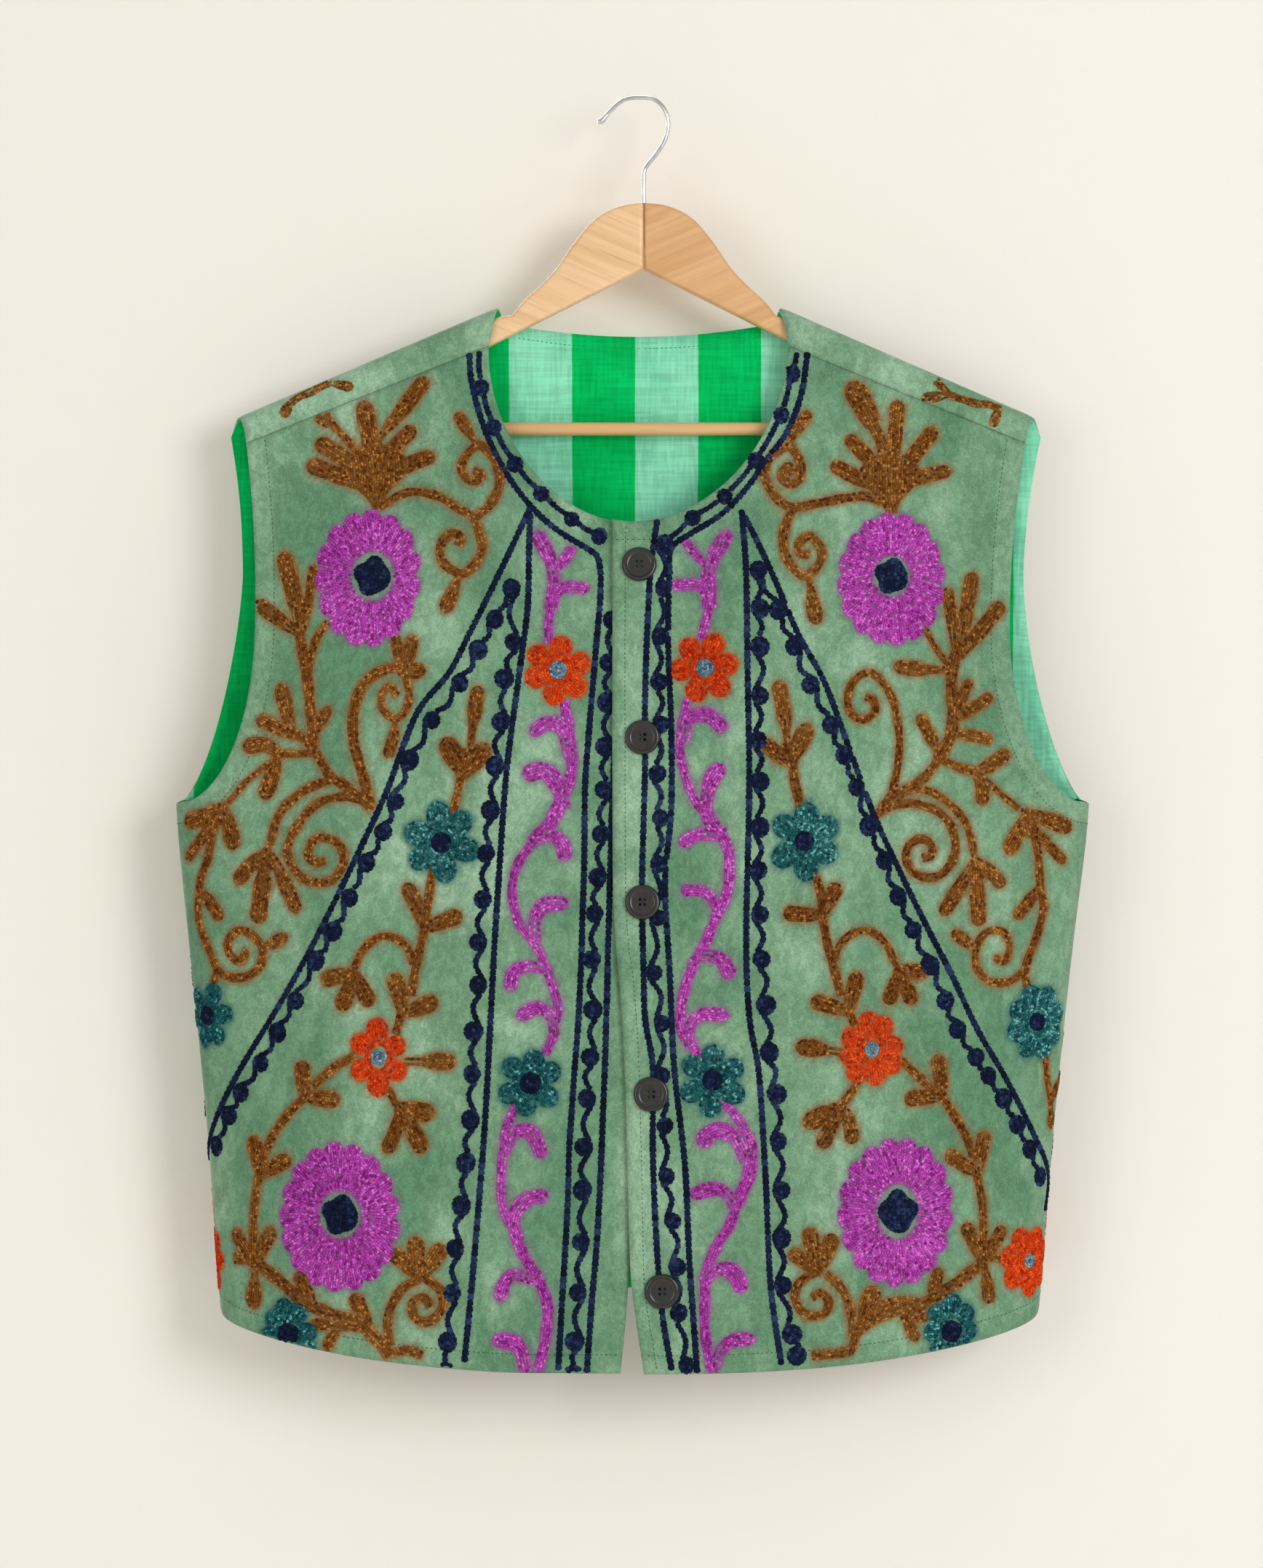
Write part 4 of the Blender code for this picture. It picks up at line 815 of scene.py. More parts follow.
def even_line(points, step=0.8):
    """A smooth line through the points, as places every step mm, their normals and lengths along."""
    line = smooth_line(points, 14)
    length = np.concatenate([[0], np.cumsum(np.hypot(*np.diff(line, axis=0).T))])
    count = max(3, int(length[-1] / step) + 1)
    target = np.linspace(0, length[-1], count)
    line = np.stack([np.interp(target, length, line[:, k]) for k in range(2)], axis=1)
    along = np.gradient(line, axis=0)
    along /= np.maximum(np.hypot(*along.T), 1e-9)[:, None]
    return line, np.stack([-along[:, 1], along[:, 0]], axis=1), target


def profile(shape, t, length, width):
    """The share of its full width that a band has at t, with a round tip."""
    if shape == "stem":
        return np.ones_like(t)
    start, begin, span = WIDENING[shape]
    share = start + (1 - start) * smooth_step((t - begin) / span)
    if shape == "palm":
        rounding = np.maximum(t - PALM_ROUND_FROM, 0) / PALM_ROUND_LENGTH
        return share * np.sqrt(np.clip(1 - rounding**2, 0, 1))
    tip = np.clip((1 - t) * length / (0.5 * width), 0, 1)
    return share * np.sqrt(np.clip(1 - (1 - tip) ** 2, 0, 1))


class Embroidery:
    """The rows of one panel, kept by order of work: what is sewn first keeps its place."""

    def __init__(self, coarse=1.0):
        self.rows, self.coarse, self.gap = [], coarse, ROW * coarse

    def row(self, order, colour, points, size=1.0):
        self.rows.append((order, colour, np.asarray(points), size))

    def band(self, order, shape, colour, width, points):
        line, normal, length = even_line(points)
        t = length / length[-1]
        width = width * FULLNESS[shape] * (MAGENTA_FULLNESS if colour == "magenta" else 1.0)
        half = width * profile(shape, t, length[-1], width) / 2
        rows = max(1, round(width / self.gap))
        steps = sorted((abs(k - (rows - 1) / 2) for k in range(rows)), reverse=True)
        for n, step in enumerate(steps):
            sign = 1 if n % 2 else -1
            shift = np.minimum(step * width / rows, np.maximum(half - self.gap / 2, 0))
            wobble = 0.22 * np.sin(length / 3.1 + 2.7 * n + width)
            self.row(order, colour, line + normal * (sign * shift + wobble)[:, None])

    def ring(self, order, colour, centre, rx, rz, size=1.0, lobes=0.0, count=4, turn=0.0):
        steps = max(6, int(2 * math.pi * max(rx, rz) / 0.8))
        angle = np.linspace(0, 2 * math.pi, steps + 1)
        reach = 1 + lobes * np.sin(count * angle + turn) + 0.5 * lobes * np.sin((count + 1) * angle)
        x, z = rx * reach * np.cos(angle), rz * reach * np.sin(angle)
        self.row(order, colour, np.stack([centre[0] + x, centre[1] + z], axis=1), size)

    def disc(self, order, colour, centre, rx, rz, lobes=0.0, count=4, turn=0.0):
        rings = max(1, round(min(rx, rz) / self.gap + 0.3))
        size = BLOB_SIZE if colour == "navy" else 1.0
        for k in range(rings):
            share = (rings - k - 0.5) / rings
            self.ring(order, colour, centre, rx * share, rz * share, size, lobes * share, count, turn)

    def flower(self, colour, centre, rx, rz, petals, turn, core_colour, core):
        self.disc(0, core_colour, centre, core, core, 0.05)
        for k in range(max(1, int((RINGS_END * rx - core) / self.gap))):
            reach = core + self.gap * (k + 0.6)
            self.ring(1, colour, centre, reach, reach * rz / rx)
        start = math.radians(turn)
        for k in range(petals):
            angle = start + 2 * math.pi * k / petals + rng.uniform(-0.05, 0.05)
            way = np.array([math.cos(angle) * rx, math.sin(angle) * rz])
            bow = np.array([-way[1], way[0]]) * rng.uniform(-0.06, 0.06)
            reach = rng.uniform(0.95, 1.04)
            middle = centre + way * PETAL_MIDDLE * reach + bow
            points = [centre + way * PETAL_START, middle, centre + way * reach]
            self.band(2, "petal", colour, PETAL_WIDTH * (rx + rz), points)

    def rosette(self, centre, rx, rz, scallops, hole, hole_rx, hole_rz, blob):
        """Rays of magenta from the hole to a scalloped rim, some of them started farther out."""
        self.disc(0, "navy", hole, blob * 0.92, blob, 0.1, 4, rng.uniform(0, 6))
        count = int(2 * math.pi * (rx + rz) / 2 / self.gap * 1.05)
        phase = rng.uniform(0, 6)
        for k in range(count):
            angle = 2 * math.pi * k / count
            wave = abs(math.sin(angle * scallops / 2 + phase))
            reach = 0.885 + 0.125 * wave ** 0.55 + 0.012 * math.sin(3 * angle + phase)
            way = np.array([math.cos(angle), math.sin(angle)])
            inner = hole + way * (hole_rx, hole_rz)
            outer = centre + way * (rx, rz) * reach
            start = (0.0, 0.3, 0.1, 0.36)[k % 4]
            bend = np.array([-way[1], way[0]]) * 1.2 * math.sin(angle * scallops + phase)
            t = np.linspace(start, 1, 24)[:, None]
            self.row(2, "magenta", inner * (1 - t) + outer * t + bend * np.sin(math.pi * t) * t)

    def beads(self, radius, lean, lead, points):
        """A wavy row that passes each bead on one side and swings back between two beads."""
        line = []
        for a, b in zip(points, points[1:]):
            way = (b - a) / max(np.hypot(*(b - a)), 1e-9)
            side = np.array([-way[1], way[0]]) * lean * radius
            swing = rng.uniform(0.3, 0.6)
            line += [a + side, a + (b - a) * rng.uniform(0.46, 0.56) - side * swing]
        even, *_ = even_line([*line, points[-1] + side])
        for place in points[lead:]:
            size = radius * rng.uniform(0.95, 1.1)
            self.disc(3, "navy", place, size * 0.94, size, 0.04, 2, rng.uniform(0, 6))
        self.row(4, "navy", even, BEAD_LINE_SIZE)

    def add_all(self, bands, flowers, rosettes, beads, lines):
        for colour, centre, *rest in flowers:
            self.flower(colour, on_cloth([centre])[0], *rest)
        for centre, rx, rz, scallops, hole, *rest in rosettes:
            middle, hole = on_cloth([centre, hole])
            self.rosette(middle, rx, rz, scallops, hole, *rest)
        for radius, lean, lead, *points in beads:
            self.beads(radius, lean, lead, on_cloth(points))
        for points in lines:
            even, *_ = even_line(on_cloth(points))
            self.row(5, "navy", even, LINE_SIZE)
        for shape, colour, *rows in bands:
            for width, *points in rows:
                self.band(6, shape, colour, width, on_cloth(points))

    def stitches(self, outline, margin=SEAM_MARGIN):
        """Stitch middles, directions, sizes and colours, cut off at the panel's outline."""
        taken, found = {}, []
        for order, colour, points, size in sorted(self.rows, key=lambda r: r[0]):
            steps = np.hypot(*np.diff(points, axis=0).T)
            length = np.concatenate([[0], np.cumsum(steps)])
            pitch = PITCH * self.coarse if size == 1 else ROPE_PITCH * size
            count = max(1, int(round(length[-1] / pitch)))
            target = (np.arange(count) + 0.5 + rng.uniform(-0.12, 0.12)) * length[-1] / count
            x, z = (np.interp(target, length, points[:, k]) for k in range(2))
            dx, dz = (
                np.interp(target + 0.5, length, points[:, k]) - np.interp(target - 0.5, length, points[:, k])
                for k in range(2)
            )
            near = NEAREST * self.coarse if size == 1 else NEAREST_ROPE
            for place in zip(x, z, dx, dz):
                cell = (int(place[0] // 2), int(place[1] // 2))
                cells = ((cell[0] + i, cell[1] + j) for i in (-1, 0, 1) for j in (-1, 0, 1))
                others = (other for key in cells for other in taken.get(key, ()))
                if any(math.hypot(place[0] - a, place[1] - b) < near for a, b in others):
                    continue
                taken.setdefault(cell, []).append(place[:2])
                found.append((*place, size, colour))
        flat = np.array([f[:2] for f in found])
        keep = inside(outline, flat) & (edge_distance(outline, flat) > margin)
        colours = np.array([f[5] for f in found])[keep]
        return flat[keep], np.array([f[2:5] for f in found])[keep], colours


def inside(outline, points):
    """Which points lie inside a closed outline."""
    a, b = outline, np.roll(outline, -1, axis=0)
    result = np.zeros(len(points), bool)
    for (ax, az), (bx, bz) in zip(a, b):
        crossing = (az > points[:, 1]) != (bz > points[:, 1])
        with np.errstate(divide="ignore", invalid="ignore"):
            at = ax + (points[:, 1] - az) / (bz - az) * (bx - ax)
        result ^= crossing & (points[:, 0] < at)
    return result


def edge_distance(outline, points, closed=True):
    """The distance of each point to a line or outline."""
    a = outline
    b = np.roll(outline, -1, axis=0) if closed else outline[1:]
    best = np.full(len(points), 1e9)
    for p, q in zip(a, b):
        way = q - p
        t = np.clip(((points - p) @ way) / max(way @ way, 1e-12), 0, 1)
        best = np.minimum(best, np.hypot(*(points - p - t[:, None] * way).T))
    return best


def panel_edges(columns, cells):
    """A front's outline and its turned-in edges, in flat mm."""
    flat = [c[2] * 1000 for c in columns]
    hem, top = (np.array([c[k] for c in flat]) for k in (0, -1))
    side = flat[-1]
    outline = np.concatenate([hem, side[1:], top[::-1][1:], flat[0][::-1][1:-1]])
    return {"hem": hem, "armhole": side[cells[2] :], "front": flat[0], "outline": outline}


under, over = Embroidery(), Embroidery()
under.add_all(UNDER_BANDS, UNDER_FLOWERS, UNDER_ROSETTES, UNDER_BEADS, UNDER_LINES)
over.add_all(OVER_BANDS, OVER_FLOWERS, OVER_ROSETTES, OVER_BEADS, OVER_LINES)
under_edges = panel_edges(under_columns, FRONT_CELLS)
over_edges = panel_edges(over_columns, FRONT_CELLS)
under_work = under.stitches(under_edges["outline"][::3])
over_work = over.stitches(over_edges["outline"][::3])
print("stitches on the two fronts:", len(under_work[0]), len(over_work[0]))

# %% The back and its shoulder strips
# the photo hides the back, so it repeats the fronts' fields, in coarser stitches
BACK_RISE, VINE_SHIFT, BACK_COARSENESS = 26, -47, 1.45
STRIP_REACH, STRIP_ABOVE_SEAM, STRIP_BELOW_RIDGE = (0.1, 0.262), 0.0018, 0.0006
STRIP_RIGHT = (
    ("leaf", "ochre", 6.6, (-226, -197), (-228, -202), (-230, -207)),
    ("stem", "ochre", 4.4, (-228, -200), (-220, -194), (-211, -190), (-199, -184)),
    ("leaf", "ochre", 6.0, (-200, -185), (-193, -186), (-185, -188)),
)
STRIP_LEFT = (
    ("leaf", "ochre", 6.2, (205, -193), (196, -194), (187, -195)),
    ("stem", "ochre", 4.2, (205, -193), (221, -198), (231, -199), (238, -202)),
    ("leaf", "ochre", 6.2, (237, -201), (235, -207), (233, -213)),
    ("stem", "ochre", 4.2, (196, -183), (205, -193)),
)


def shifted(item, dx, dz):
    """A table with every place in it moved; a place is a pair of numbers."""
    if not isinstance(item, (tuple, list)):
        return item
    if len(item) == 2 and not isinstance(item[0], (tuple, str)):
        return item[0] + dx, item[1] + dz
    return tuple(shifted(part, dx, dz) for part in item)


def strip_outline(side):
    """What shows of the back's shoulder from the front, from its seam up to the ridge."""
    x = np.linspace(*STRIP_REACH, 20)
    low, high = shoulder_seam_height(x) + STRIP_ABOVE_SEAM, ridge_height(x) - STRIP_BELOW_RIDGE
    ends = np.concatenate([np.stack([x, low], axis=1), np.stack([x, high], axis=1)[::-1]])
    return ends * (1000 * side, 1000)


rear = Embroidery(BACK_COARSENESS)
rear.add_all(
    shifted([r for r in UNDER_BANDS + OVER_BANDS if r[1] == "ochre"], 0, BACK_RISE)
    + shifted([r for r in OVER_BANDS if r[1] == "magenta"], VINE_SHIFT, BACK_RISE),
    shifted([r for r in UNDER_FLOWERS + OVER_FLOWERS if abs(r[1][0]) > 90], 0, BACK_RISE)
    + shifted([r for r in OVER_FLOWERS if r[1][0] < 90], VINE_SHIFT, BACK_RISE),
    shifted(UNDER_ROSETTES + OVER_ROSETTES, 0, BACK_RISE),
    shifted(UNDER_BEADS[1:3] + OVER_BEADS[1:3], 0, BACK_RISE),
    shifted(UNDER_LINES[1:3] + OVER_LINES[3:], 0, BACK_RISE),
)
rear_grid = back_grid(*BACK_CELLS) * 1000
rear_outline = np.concatenate(
    [rear_grid[0], rear_grid[1:, -1], rear_grid[-1, ::-1][1:], rear_grid[1:-1, 0][::-1]]
)
rear_work = rear.stitches(rear_outline[::3])
strip_works = []
for side, table in ((-1, STRIP_RIGHT), (1, STRIP_LEFT)):
    strip = Embroidery()
    for shape, colour, width, *points in table:
        strip.band(6, shape, colour, width, points)
    strip_works.append(strip.stitches(strip_outline(side), STRIP_MARGIN))
print("stitches on the back and strips:", len(rear_work[0]), [len(w[0]) for w in strip_works])

# %% [markdown]
# ## Materials
#
# Shader sums are written as Python sums. A small class holds one socket and turns +, - and
# * into Math nodes, so that a material reads like a formula.


# %% Sockets that can be summed
class Value:
    """An output socket. Sums with it make Math nodes in its own tree."""

    def __init__(self, graph, socket):
        self.graph, self.socket = graph, socket

    def _math(self, operation, *terms):
        return self.graph.node("ShaderNodeMath", {"operation": operation}, dict(enumerate(terms)))

    def __add__(self, other):
        return self._math("ADD", self, other)

    def __radd__(self, other):
        return self._math("ADD", other, self)

    def __sub__(self, other):
        return self._math("SUBTRACT", self, other)

    def __rsub__(self, other):
        return self._math("SUBTRACT", other, self)

    def __mul__(self, other):
        return self._math("MULTIPLY", self, other)

    def __rmul__(self, other):
        return self._math("MULTIPLY", other, self)

    def step(self, low, high):
        """0 below low, 1 above high, and smooth between them."""
        settings = {"interpolation_type": "SMOOTHSTEP"}
        return self.graph.node("ShaderNodeMapRange", settings, {0: self, 1: low, 2: high})


class Graph:
    """A node tree. Its one method adds any node: kind, settings first, then inputs."""

    def __init__(self, tree):
        self.tree = tree

    def node(self, kind, settings=None, inputs=None, output=0):
        made = self.tree.nodes.new(kind)
        for name, value in (settings or {}).items():
            setattr(made, name, value)
        for key, value in (inputs or {}).items():
            if isinstance(value, Value):
                self.tree.links.new(value.socket, made.inputs[key])
            else:
                made.inputs[key].default_value = value
        return Value(self, made.outputs[output])


def rgb(red, green, blue):
    """A colour read as 0 to 255 screen values, as the linear one that shaders use."""
    linear = []
    for channel in (red, green, blue):
        c = channel / 255
        linear.append(c / 12.92 if c <= 0.04045 else ((c + 0.055) / 1.055) ** 2.4)
    return (*linear, 1.0)


class Paint:
    """A material with its Principled shader, and the texture nodes used most."""

    def __init__(self, name, roughness, **constants):
        self.material = bpy.data.materials.new(name)
        self.material.use_nodes = True
        self.graph = Graph(self.material.node_tree)
        self.shader = self.material.node_tree.nodes["Principled BSDF"]
        self.shader.inputs["Roughness"].default_value = roughness
        for key, value in constants.items():
            self.shader.inputs[key.replace("_", " ")].default_value = value
        self.place = self.graph.node("ShaderNodeTexCoord", output="Object")

    def attribute(self, name):
        return self.graph.node("ShaderNodeAttribute", {"attribute_name": name}, output="Fac")

    def noise(self, scale, detail=2.0, stretch=(1, 1, 1), distortion=0.0, shift=0.0):
        turned = self.graph.node(
            "ShaderNodeMapping", None, {"Vector": self.place, "Scale": stretch, "Location": (shift,) * 3}
        )
        inputs = {"Vector": turned, "Scale": scale, "Detail": detail, "Distortion": distortion}
        return self.graph.node("ShaderNodeTexNoise", None, inputs, "Fac")

    def axis(self, name):
        return self.graph.node("ShaderNodeSeparateXYZ", None, {0: self.place}, name)

    def mix(self, share, first, second, blend="MIX"):
        settings = {"data_type": "RGBA", "blend_type": blend}
        return self.graph.node("ShaderNodeMix", settings, {0: share, 6: first, 7: second}, 2)

    def finish(self, colour=None, roughness=None, height=None, distance=0.0004, strength=0.5):
        link_to = self.graph.tree.links.new
        if colour is not None:
            link_to(colour.socket, self.shader.inputs["Base Color"])
        if roughness is not None:
            link_to(roughness.socket, self.shader.inputs["Roughness"])
        if height is not None:
            bump = self.graph.node(
                "ShaderNodeBump", None, {"Strength": strength, "Distance": distance, "Height": height}
            )
            link_to(bump.socket, self.shader.inputs["Normal"])
        return self.material

print("sage as linear colour:", np.round(rgb(116, 160, 126), 3))

# %% [markdown]
# ## Velvet and lining
#
# Crushed velvet is pale where its nap lies down, and beside the stitches it is painted in shade
# tinted by the wool. An image texture of the cloth would hold one light for good. Noise makes the
# clouds here instead, and attributes on the mesh say where the wool, the paler and darker patches,
# the painted light over the shoulder ridge and the facings are.

# %% Velvet and lining
# paler or darker patches of the velvet: seen place in mm, half width, half height, paler (+) or darker (-)
PATCHES = (
    (-190, -375, 22, 34, -1.0), (-197, -275, 26, 26, -0.8), (-287, -540, 20, 50, -0.9),
    (-139, -556, 26, 26, -0.7), (-57, -540, 16, 36, -0.6), (-60, -800, 40, 26, -0.7),
    (266, -515, 24, 40, -0.6), (206, -575, 26, 30, -0.6), (-250, -690, 26, 30, -0.5),
    (150, -700, 50, 16, -0.4), (95, -640, 20, 30, -0.4), (238, -690, 30, 50, -0.5),
    (-5, -420, 14, 130, 1.2), (3, -690, 16, 110, 1.2), (-128, -340, 28, 34, 1.1), (138, -372, 34, 34, 0.6),
    (-118, -425, 20, 34, 0.5), (107, -566, 22, 30, 0.5), (-134, -694, 30, 34, -0.8),
    (-60, -660, 24, 40, 0.4), (-255, -255, 16, 60, 0.3), (60, -430, 26, 60, 0.3), (216, -648, 34, 44, -0.9),
    (216, -266, 26, 30, -0.5),
)
FACING, HEM, FRONT_STITCHING, NECK_STITCHING = 12.5, 12.0, 8.5, 7.6  # mm in from each edge
# painted light: how much paler the velvet is made where it runs over the shoulder ridge
RIDGE_PAINTED_LIGHT = 0.6
PAINTED_SHADE_STRENGTH, PAINTED_SHADE_FROM, PAINTED_SHADE_FADE = 0.85, 0.9, 3.6  # the painted shade beside the wool fades over a few mm
# painted shade beside each wool: the colour that it tints the nearby velvet towards
PAINTED_SHADE_TINTS = {
    "ochre": rgb(138, 92, 40),
    "magenta": rgb(128, 104, 132),
    "orange": rgb(150, 96, 52),
    "teal": rgb(48, 104, 100),
}


def make_velvet():
    """Clouds where the nap lies down, patches, painted ridge light, painted shade by the wool and paler
    facings.
    """
    paint = Paint("sage_velvet", 0.85, Sheen_Weight=0.18, Sheen_Roughness=0.5)
    wide = paint.noise(11, 2, (1, 1, 0.6), 0.3)
    patch = paint.noise(26, 2, (1, 1, 0.75), 0.4, 4.0)
    streak = paint.noise(60, 3, (1, 1, 0.35), 1.5, 9.0)
    grain = paint.noise(900, 2)
    # paler and darker patches, with painted light where the velvet runs over the shoulder ridge
    worn = paint.attribute("worn")
    tone = patch * 0.55 + wide * 0.45 + worn * 0.16
    base = paint.mix(tone.step(0.36, 0.52), rgb(91, 141, 107), rgb(116, 160, 126))
    base = paint.mix(tone.step(0.5, 0.68), base, rgb(151, 188, 159))
    base = paint.mix(streak.step(0.56, 0.76) * 0.3, base, rgb(156, 188, 158))
    base = paint.mix(paint.attribute("facing") * 0.35, base, rgb(140, 177, 148))
    # painted shade beside the wool, tinted towards each wool's colour
    for name, shade_tint in PAINTED_SHADE_TINTS.items():
        base = paint.mix(paint.attribute(f"halo_{name}"), base, shade_tint)
    speck = paint.mix(grain.step(0.3, 0.7), rgb(218, 220, 216), rgb(255, 255, 255))
    crush = paint.noise(190, 4, (1, 1, 0.7), 0.8, 2.0)
    pressed = paint.mix(crush.step(0.36, 0.64), rgb(222, 228, 224), rgb(255, 255, 255))
    colour = paint.mix(1.0, paint.mix(1.0, base, speck, "MULTIPLY"), pressed, "MULTIPLY")
    return paint.finish(colour, height=grain + paint.noise(240, 2) * 1.5, distance=0.0003)


velvet = make_velvet()


def make_cotton():
    """Wide stripes that a triangle wave along X gives, with slubs of thread both ways."""
    paint = Paint("striped_cotton", 0.85, Specular_IOR_Level=0.05)
    stripe = 0.0413
    wobble = paint.noise(40, 1) * 0.001
    inputs = {0: paint.axis("X") + wobble + stripe / 2, 1: stripe}
    swing = paint.graph.node("ShaderNodeMath", {"operation": "PINGPONG"}, inputs)
    mint = swing.step(stripe / 2 - 0.0003, stripe / 2 + 0.0003)
    slub = paint.noise(500, 2, (1, 1, 0.06)) * 0.5 + paint.noise(500, 2, (0.06, 1, 1)) * 0.5
    cloud = paint.noise(22, 3)
    green = paint.mix(cloud.step(0.35, 0.65), rgb(0, 172, 82), rgb(2, 192, 96))
    pale = paint.mix(cloud.step(0.35, 0.65), rgb(118, 206, 170), rgb(140, 226, 190))
    base = paint.mix(mint, green, pale)
    thread = paint.mix(slub.step(0.35, 0.62), rgb(226, 226, 226), rgb(255, 255, 255))
    colour = paint.mix(1.0, base, thread, "MULTIPLY")
    return paint.finish(colour, height=slub, distance=0.0002)


cotton = make_cotton()
for panel in (front_left, front_right, back):
    panel.data.materials.append(velvet)
lining.data.materials.append(cotton)


def mark(panel, columns, work, facings, patches=()):
    """Store patches, painted ridge light, and how near the wool (for painted shade) and sewn-down edges lie.
    """
    flat = np.concatenate([c[2] for c in columns]) * 1000
    over_ridge = flat[:, 0] == NO_PLACE * 1000
    # painted light over the ridge, kept in one mark with the paler and darker patches
    marks = {"facing": np.zeros(len(flat)), "worn": np.where(over_ridge, RIDGE_PAINTED_LIGHT, 0.0)}
    for *place, wide, tall, tone in patches:
        middle = on_cloth([place])[0]
        marks["worn"] += tone * np.exp(-(((flat - middle) / (wide, tall)) ** 2).sum(axis=1))
    for line in facings:
        reach = np.clip(FACING + 0.8 - edge_distance(line, flat, False), 0, 1)
        marks["facing"] = np.maximum(marks["facing"], reach)
    # painted shade: velvet within a few mm of each wool is darkened and tinted
    for name in PAINTED_SHADE_TINTS:
        places = work[0][work[2] == name]
        tree = KDTree(len(places))
        for n, (x, z) in enumerate(places):
            tree.insert((x, z, 0), n)
        tree.balance()
        near = np.array([tree.find((x, z, 0))[2] if len(places) else 99 for x, z in flat])
        marks[f"halo_{name}"] = PAINTED_SHADE_STRENGTH * smooth_step(1 - (near - PAINTED_SHADE_FROM) / PAINTED_SHADE_FADE)
    for name, values in marks.items():
        layer = panel.data.attributes.new(name, "FLOAT", "POINT")
        layer.data.foreach_set("value", np.tile(values, 2).astype(np.float32))


BACK_SEAM = BACK_CELLS[2]
rear_armholes = [rear_grid[BACK_SEAM:, k] for k in (0, -1)]
mark(front_right, under_columns, under_work, [under_edges["armhole"]], PATCHES)
mark(front_left, over_columns, over_work, [over_edges["armhole"]], PATCHES)
mark(back, back_all, rear_work, rear_armholes)
print("marks on the velvet:", [a.name for a in back.data.attributes if a.data_type == "FLOAT"])


# %% [markdown]
# ## Wool loops on every stitch
#
# A chain stitch is a loop of wool: two strands side by side that meet at both ends. One
# small loop is modelled, with a dip between its strands, and Geometry Nodes sets it on
# each stitch's place, turned to the row and to the cloth. The nodes add a little
# unevenness from a fixed seed. The result is realized as a plain mesh.


# %% One loop, and the nodes that place it
def close_up(mesh):
    """Doubled points merged, and faces turned outwards."""
    edit = bmesh.new()
    edit.from_mesh(mesh)
    bmesh.ops.remove_doubles(edit, verts=edit.verts, dist=0.00001)
    bmesh.ops.recalc_face_normals(edit, faces=edit.faces)
    edit.to_mesh(mesh)
    edit.free()


def loop_shape(name, rings, ends):
    """A closed unit shape along X, from rings of (y, z) at places along it."""
    verts, faces = [(-0.5, 0.0, ends)], []
    for at, ring in rings:
        verts += [(at, y, z) for y, z in ring]
    verts.append((0.5, 0.0, ends))
    n = len(rings[0][1])
    for k in range(n):
        m = (k + 1) % n
        faces.append((0, 1 + m, 1 + k))
        for r in range(len(rings) - 1):
            low, high = 1 + r * n, 1 + (r + 1) * n
            faces.append((low + k, low + m, high + m, high + k))
        last = 1 + (len(rings) - 1) * n
        faces.append((len(verts) - 1, last + k, last + m))
    mesh = bpy.data.meshes.new(name)
    mesh.from_pydata(verts, [], faces)
    mesh.shade_smooth()
    close_up(mesh)
    return bpy.data.objects.new(name, mesh)


def wool_ring(width, height):
    return [(-0.5 * width, -0.4), (-0.27 * width, height), (0.27 * width, height), (0.5 * width, -0.4)]


wool_loop = loop_shape("wool_loop", [(-0.34, wool_ring(0.84, 0.8)), (0.26, wool_ring(1.0, 1.0))], 0.0)
thread_dash = loop_shape("thread_dash", [(0.0, [(-0.5, -0.2), (0.0, 1.0), (0.5, -0.2)])], -0.2)

print("faces of a wool loop and a dash:", [len(o.data.polygons) for o in (wool_loop, thread_dash)])


def placing_nodes():
    tree = bpy.data.node_groups.new("stitches_on_points", "GeometryNodeTree")
    new = tree.interface.new_socket
    new("Points", in_out="INPUT", socket_type="NodeSocketGeometry")
    sockets = {
        "shape": new("Shape", in_out="INPUT", socket_type="NodeSocketObject"),
        "yarn": new("Yarn", in_out="INPUT", socket_type="NodeSocketMaterial"),
        "uneven": new("Unevenness", in_out="INPUT", socket_type="NodeSocketFloat"),
    }
    new("Stitches", in_out="OUTPUT", socket_type="NodeSocketGeometry")
    graph = Graph(tree)

    def given(name):
        return graph.node("NodeGroupInput", output=name)

    def stored(name):
        settings = {"data_type": "FLOAT_VECTOR"}
        return graph.node("GeometryNodeInputNamedAttribute", settings, {"Name": name})

    def random(low, high, seed):
        return graph.node("FunctionNodeRandomValue", None, {2: low, 3: high, "Seed": seed}, 1)

    uneven = given("Unevenness")
    axes = {"primary_axis": "Z", "secondary_axis": "X"}
    upright = graph.node("FunctionNodeAxesToRotation", axes, {0: stored("outward"), 1: stored("along")})
    inputs = {"Axis": (0, 0, 1), "Angle": random(-1.0, 1.0, 3) * uneven}
    twist = graph.node("FunctionNodeAxisAngleToRotation", None, inputs)
    turned = graph.node("FunctionNodeRotateRotation", {"rotation_space": "LOCAL"}, {0: upright, 1: twist})
    scale = 1.0 + random(-0.3, 0.3, 5) * uneven
    inputs = {0: stored("size"), "Scale": scale}
    size = graph.node("ShaderNodeVectorMath", {"operation": "SCALE"}, inputs)
    shape = graph.node("GeometryNodeObjectInfo", None, {"Object": given("Shape")}, "Geometry")
    inputs = {"Points": given("Points"), "Instance": shape, "Rotation": turned, "Scale": size}
    placed = graph.node("GeometryNodeInstanceOnPoints", None, inputs)
    real = graph.node("GeometryNodeRealizeInstances", None, {0: placed})
    dyed = graph.node("GeometryNodeSetMaterial", None, {"Geometry": real, "Material": given("Yarn")})
    out = tree.nodes.new("NodeGroupOutput")
    tree.links.new(dyed.socket, out.inputs[0])
    return tree, {key: socket.identifier for key, socket in sockets.items()}


PLACING, PLACING_INPUTS = placing_nodes()


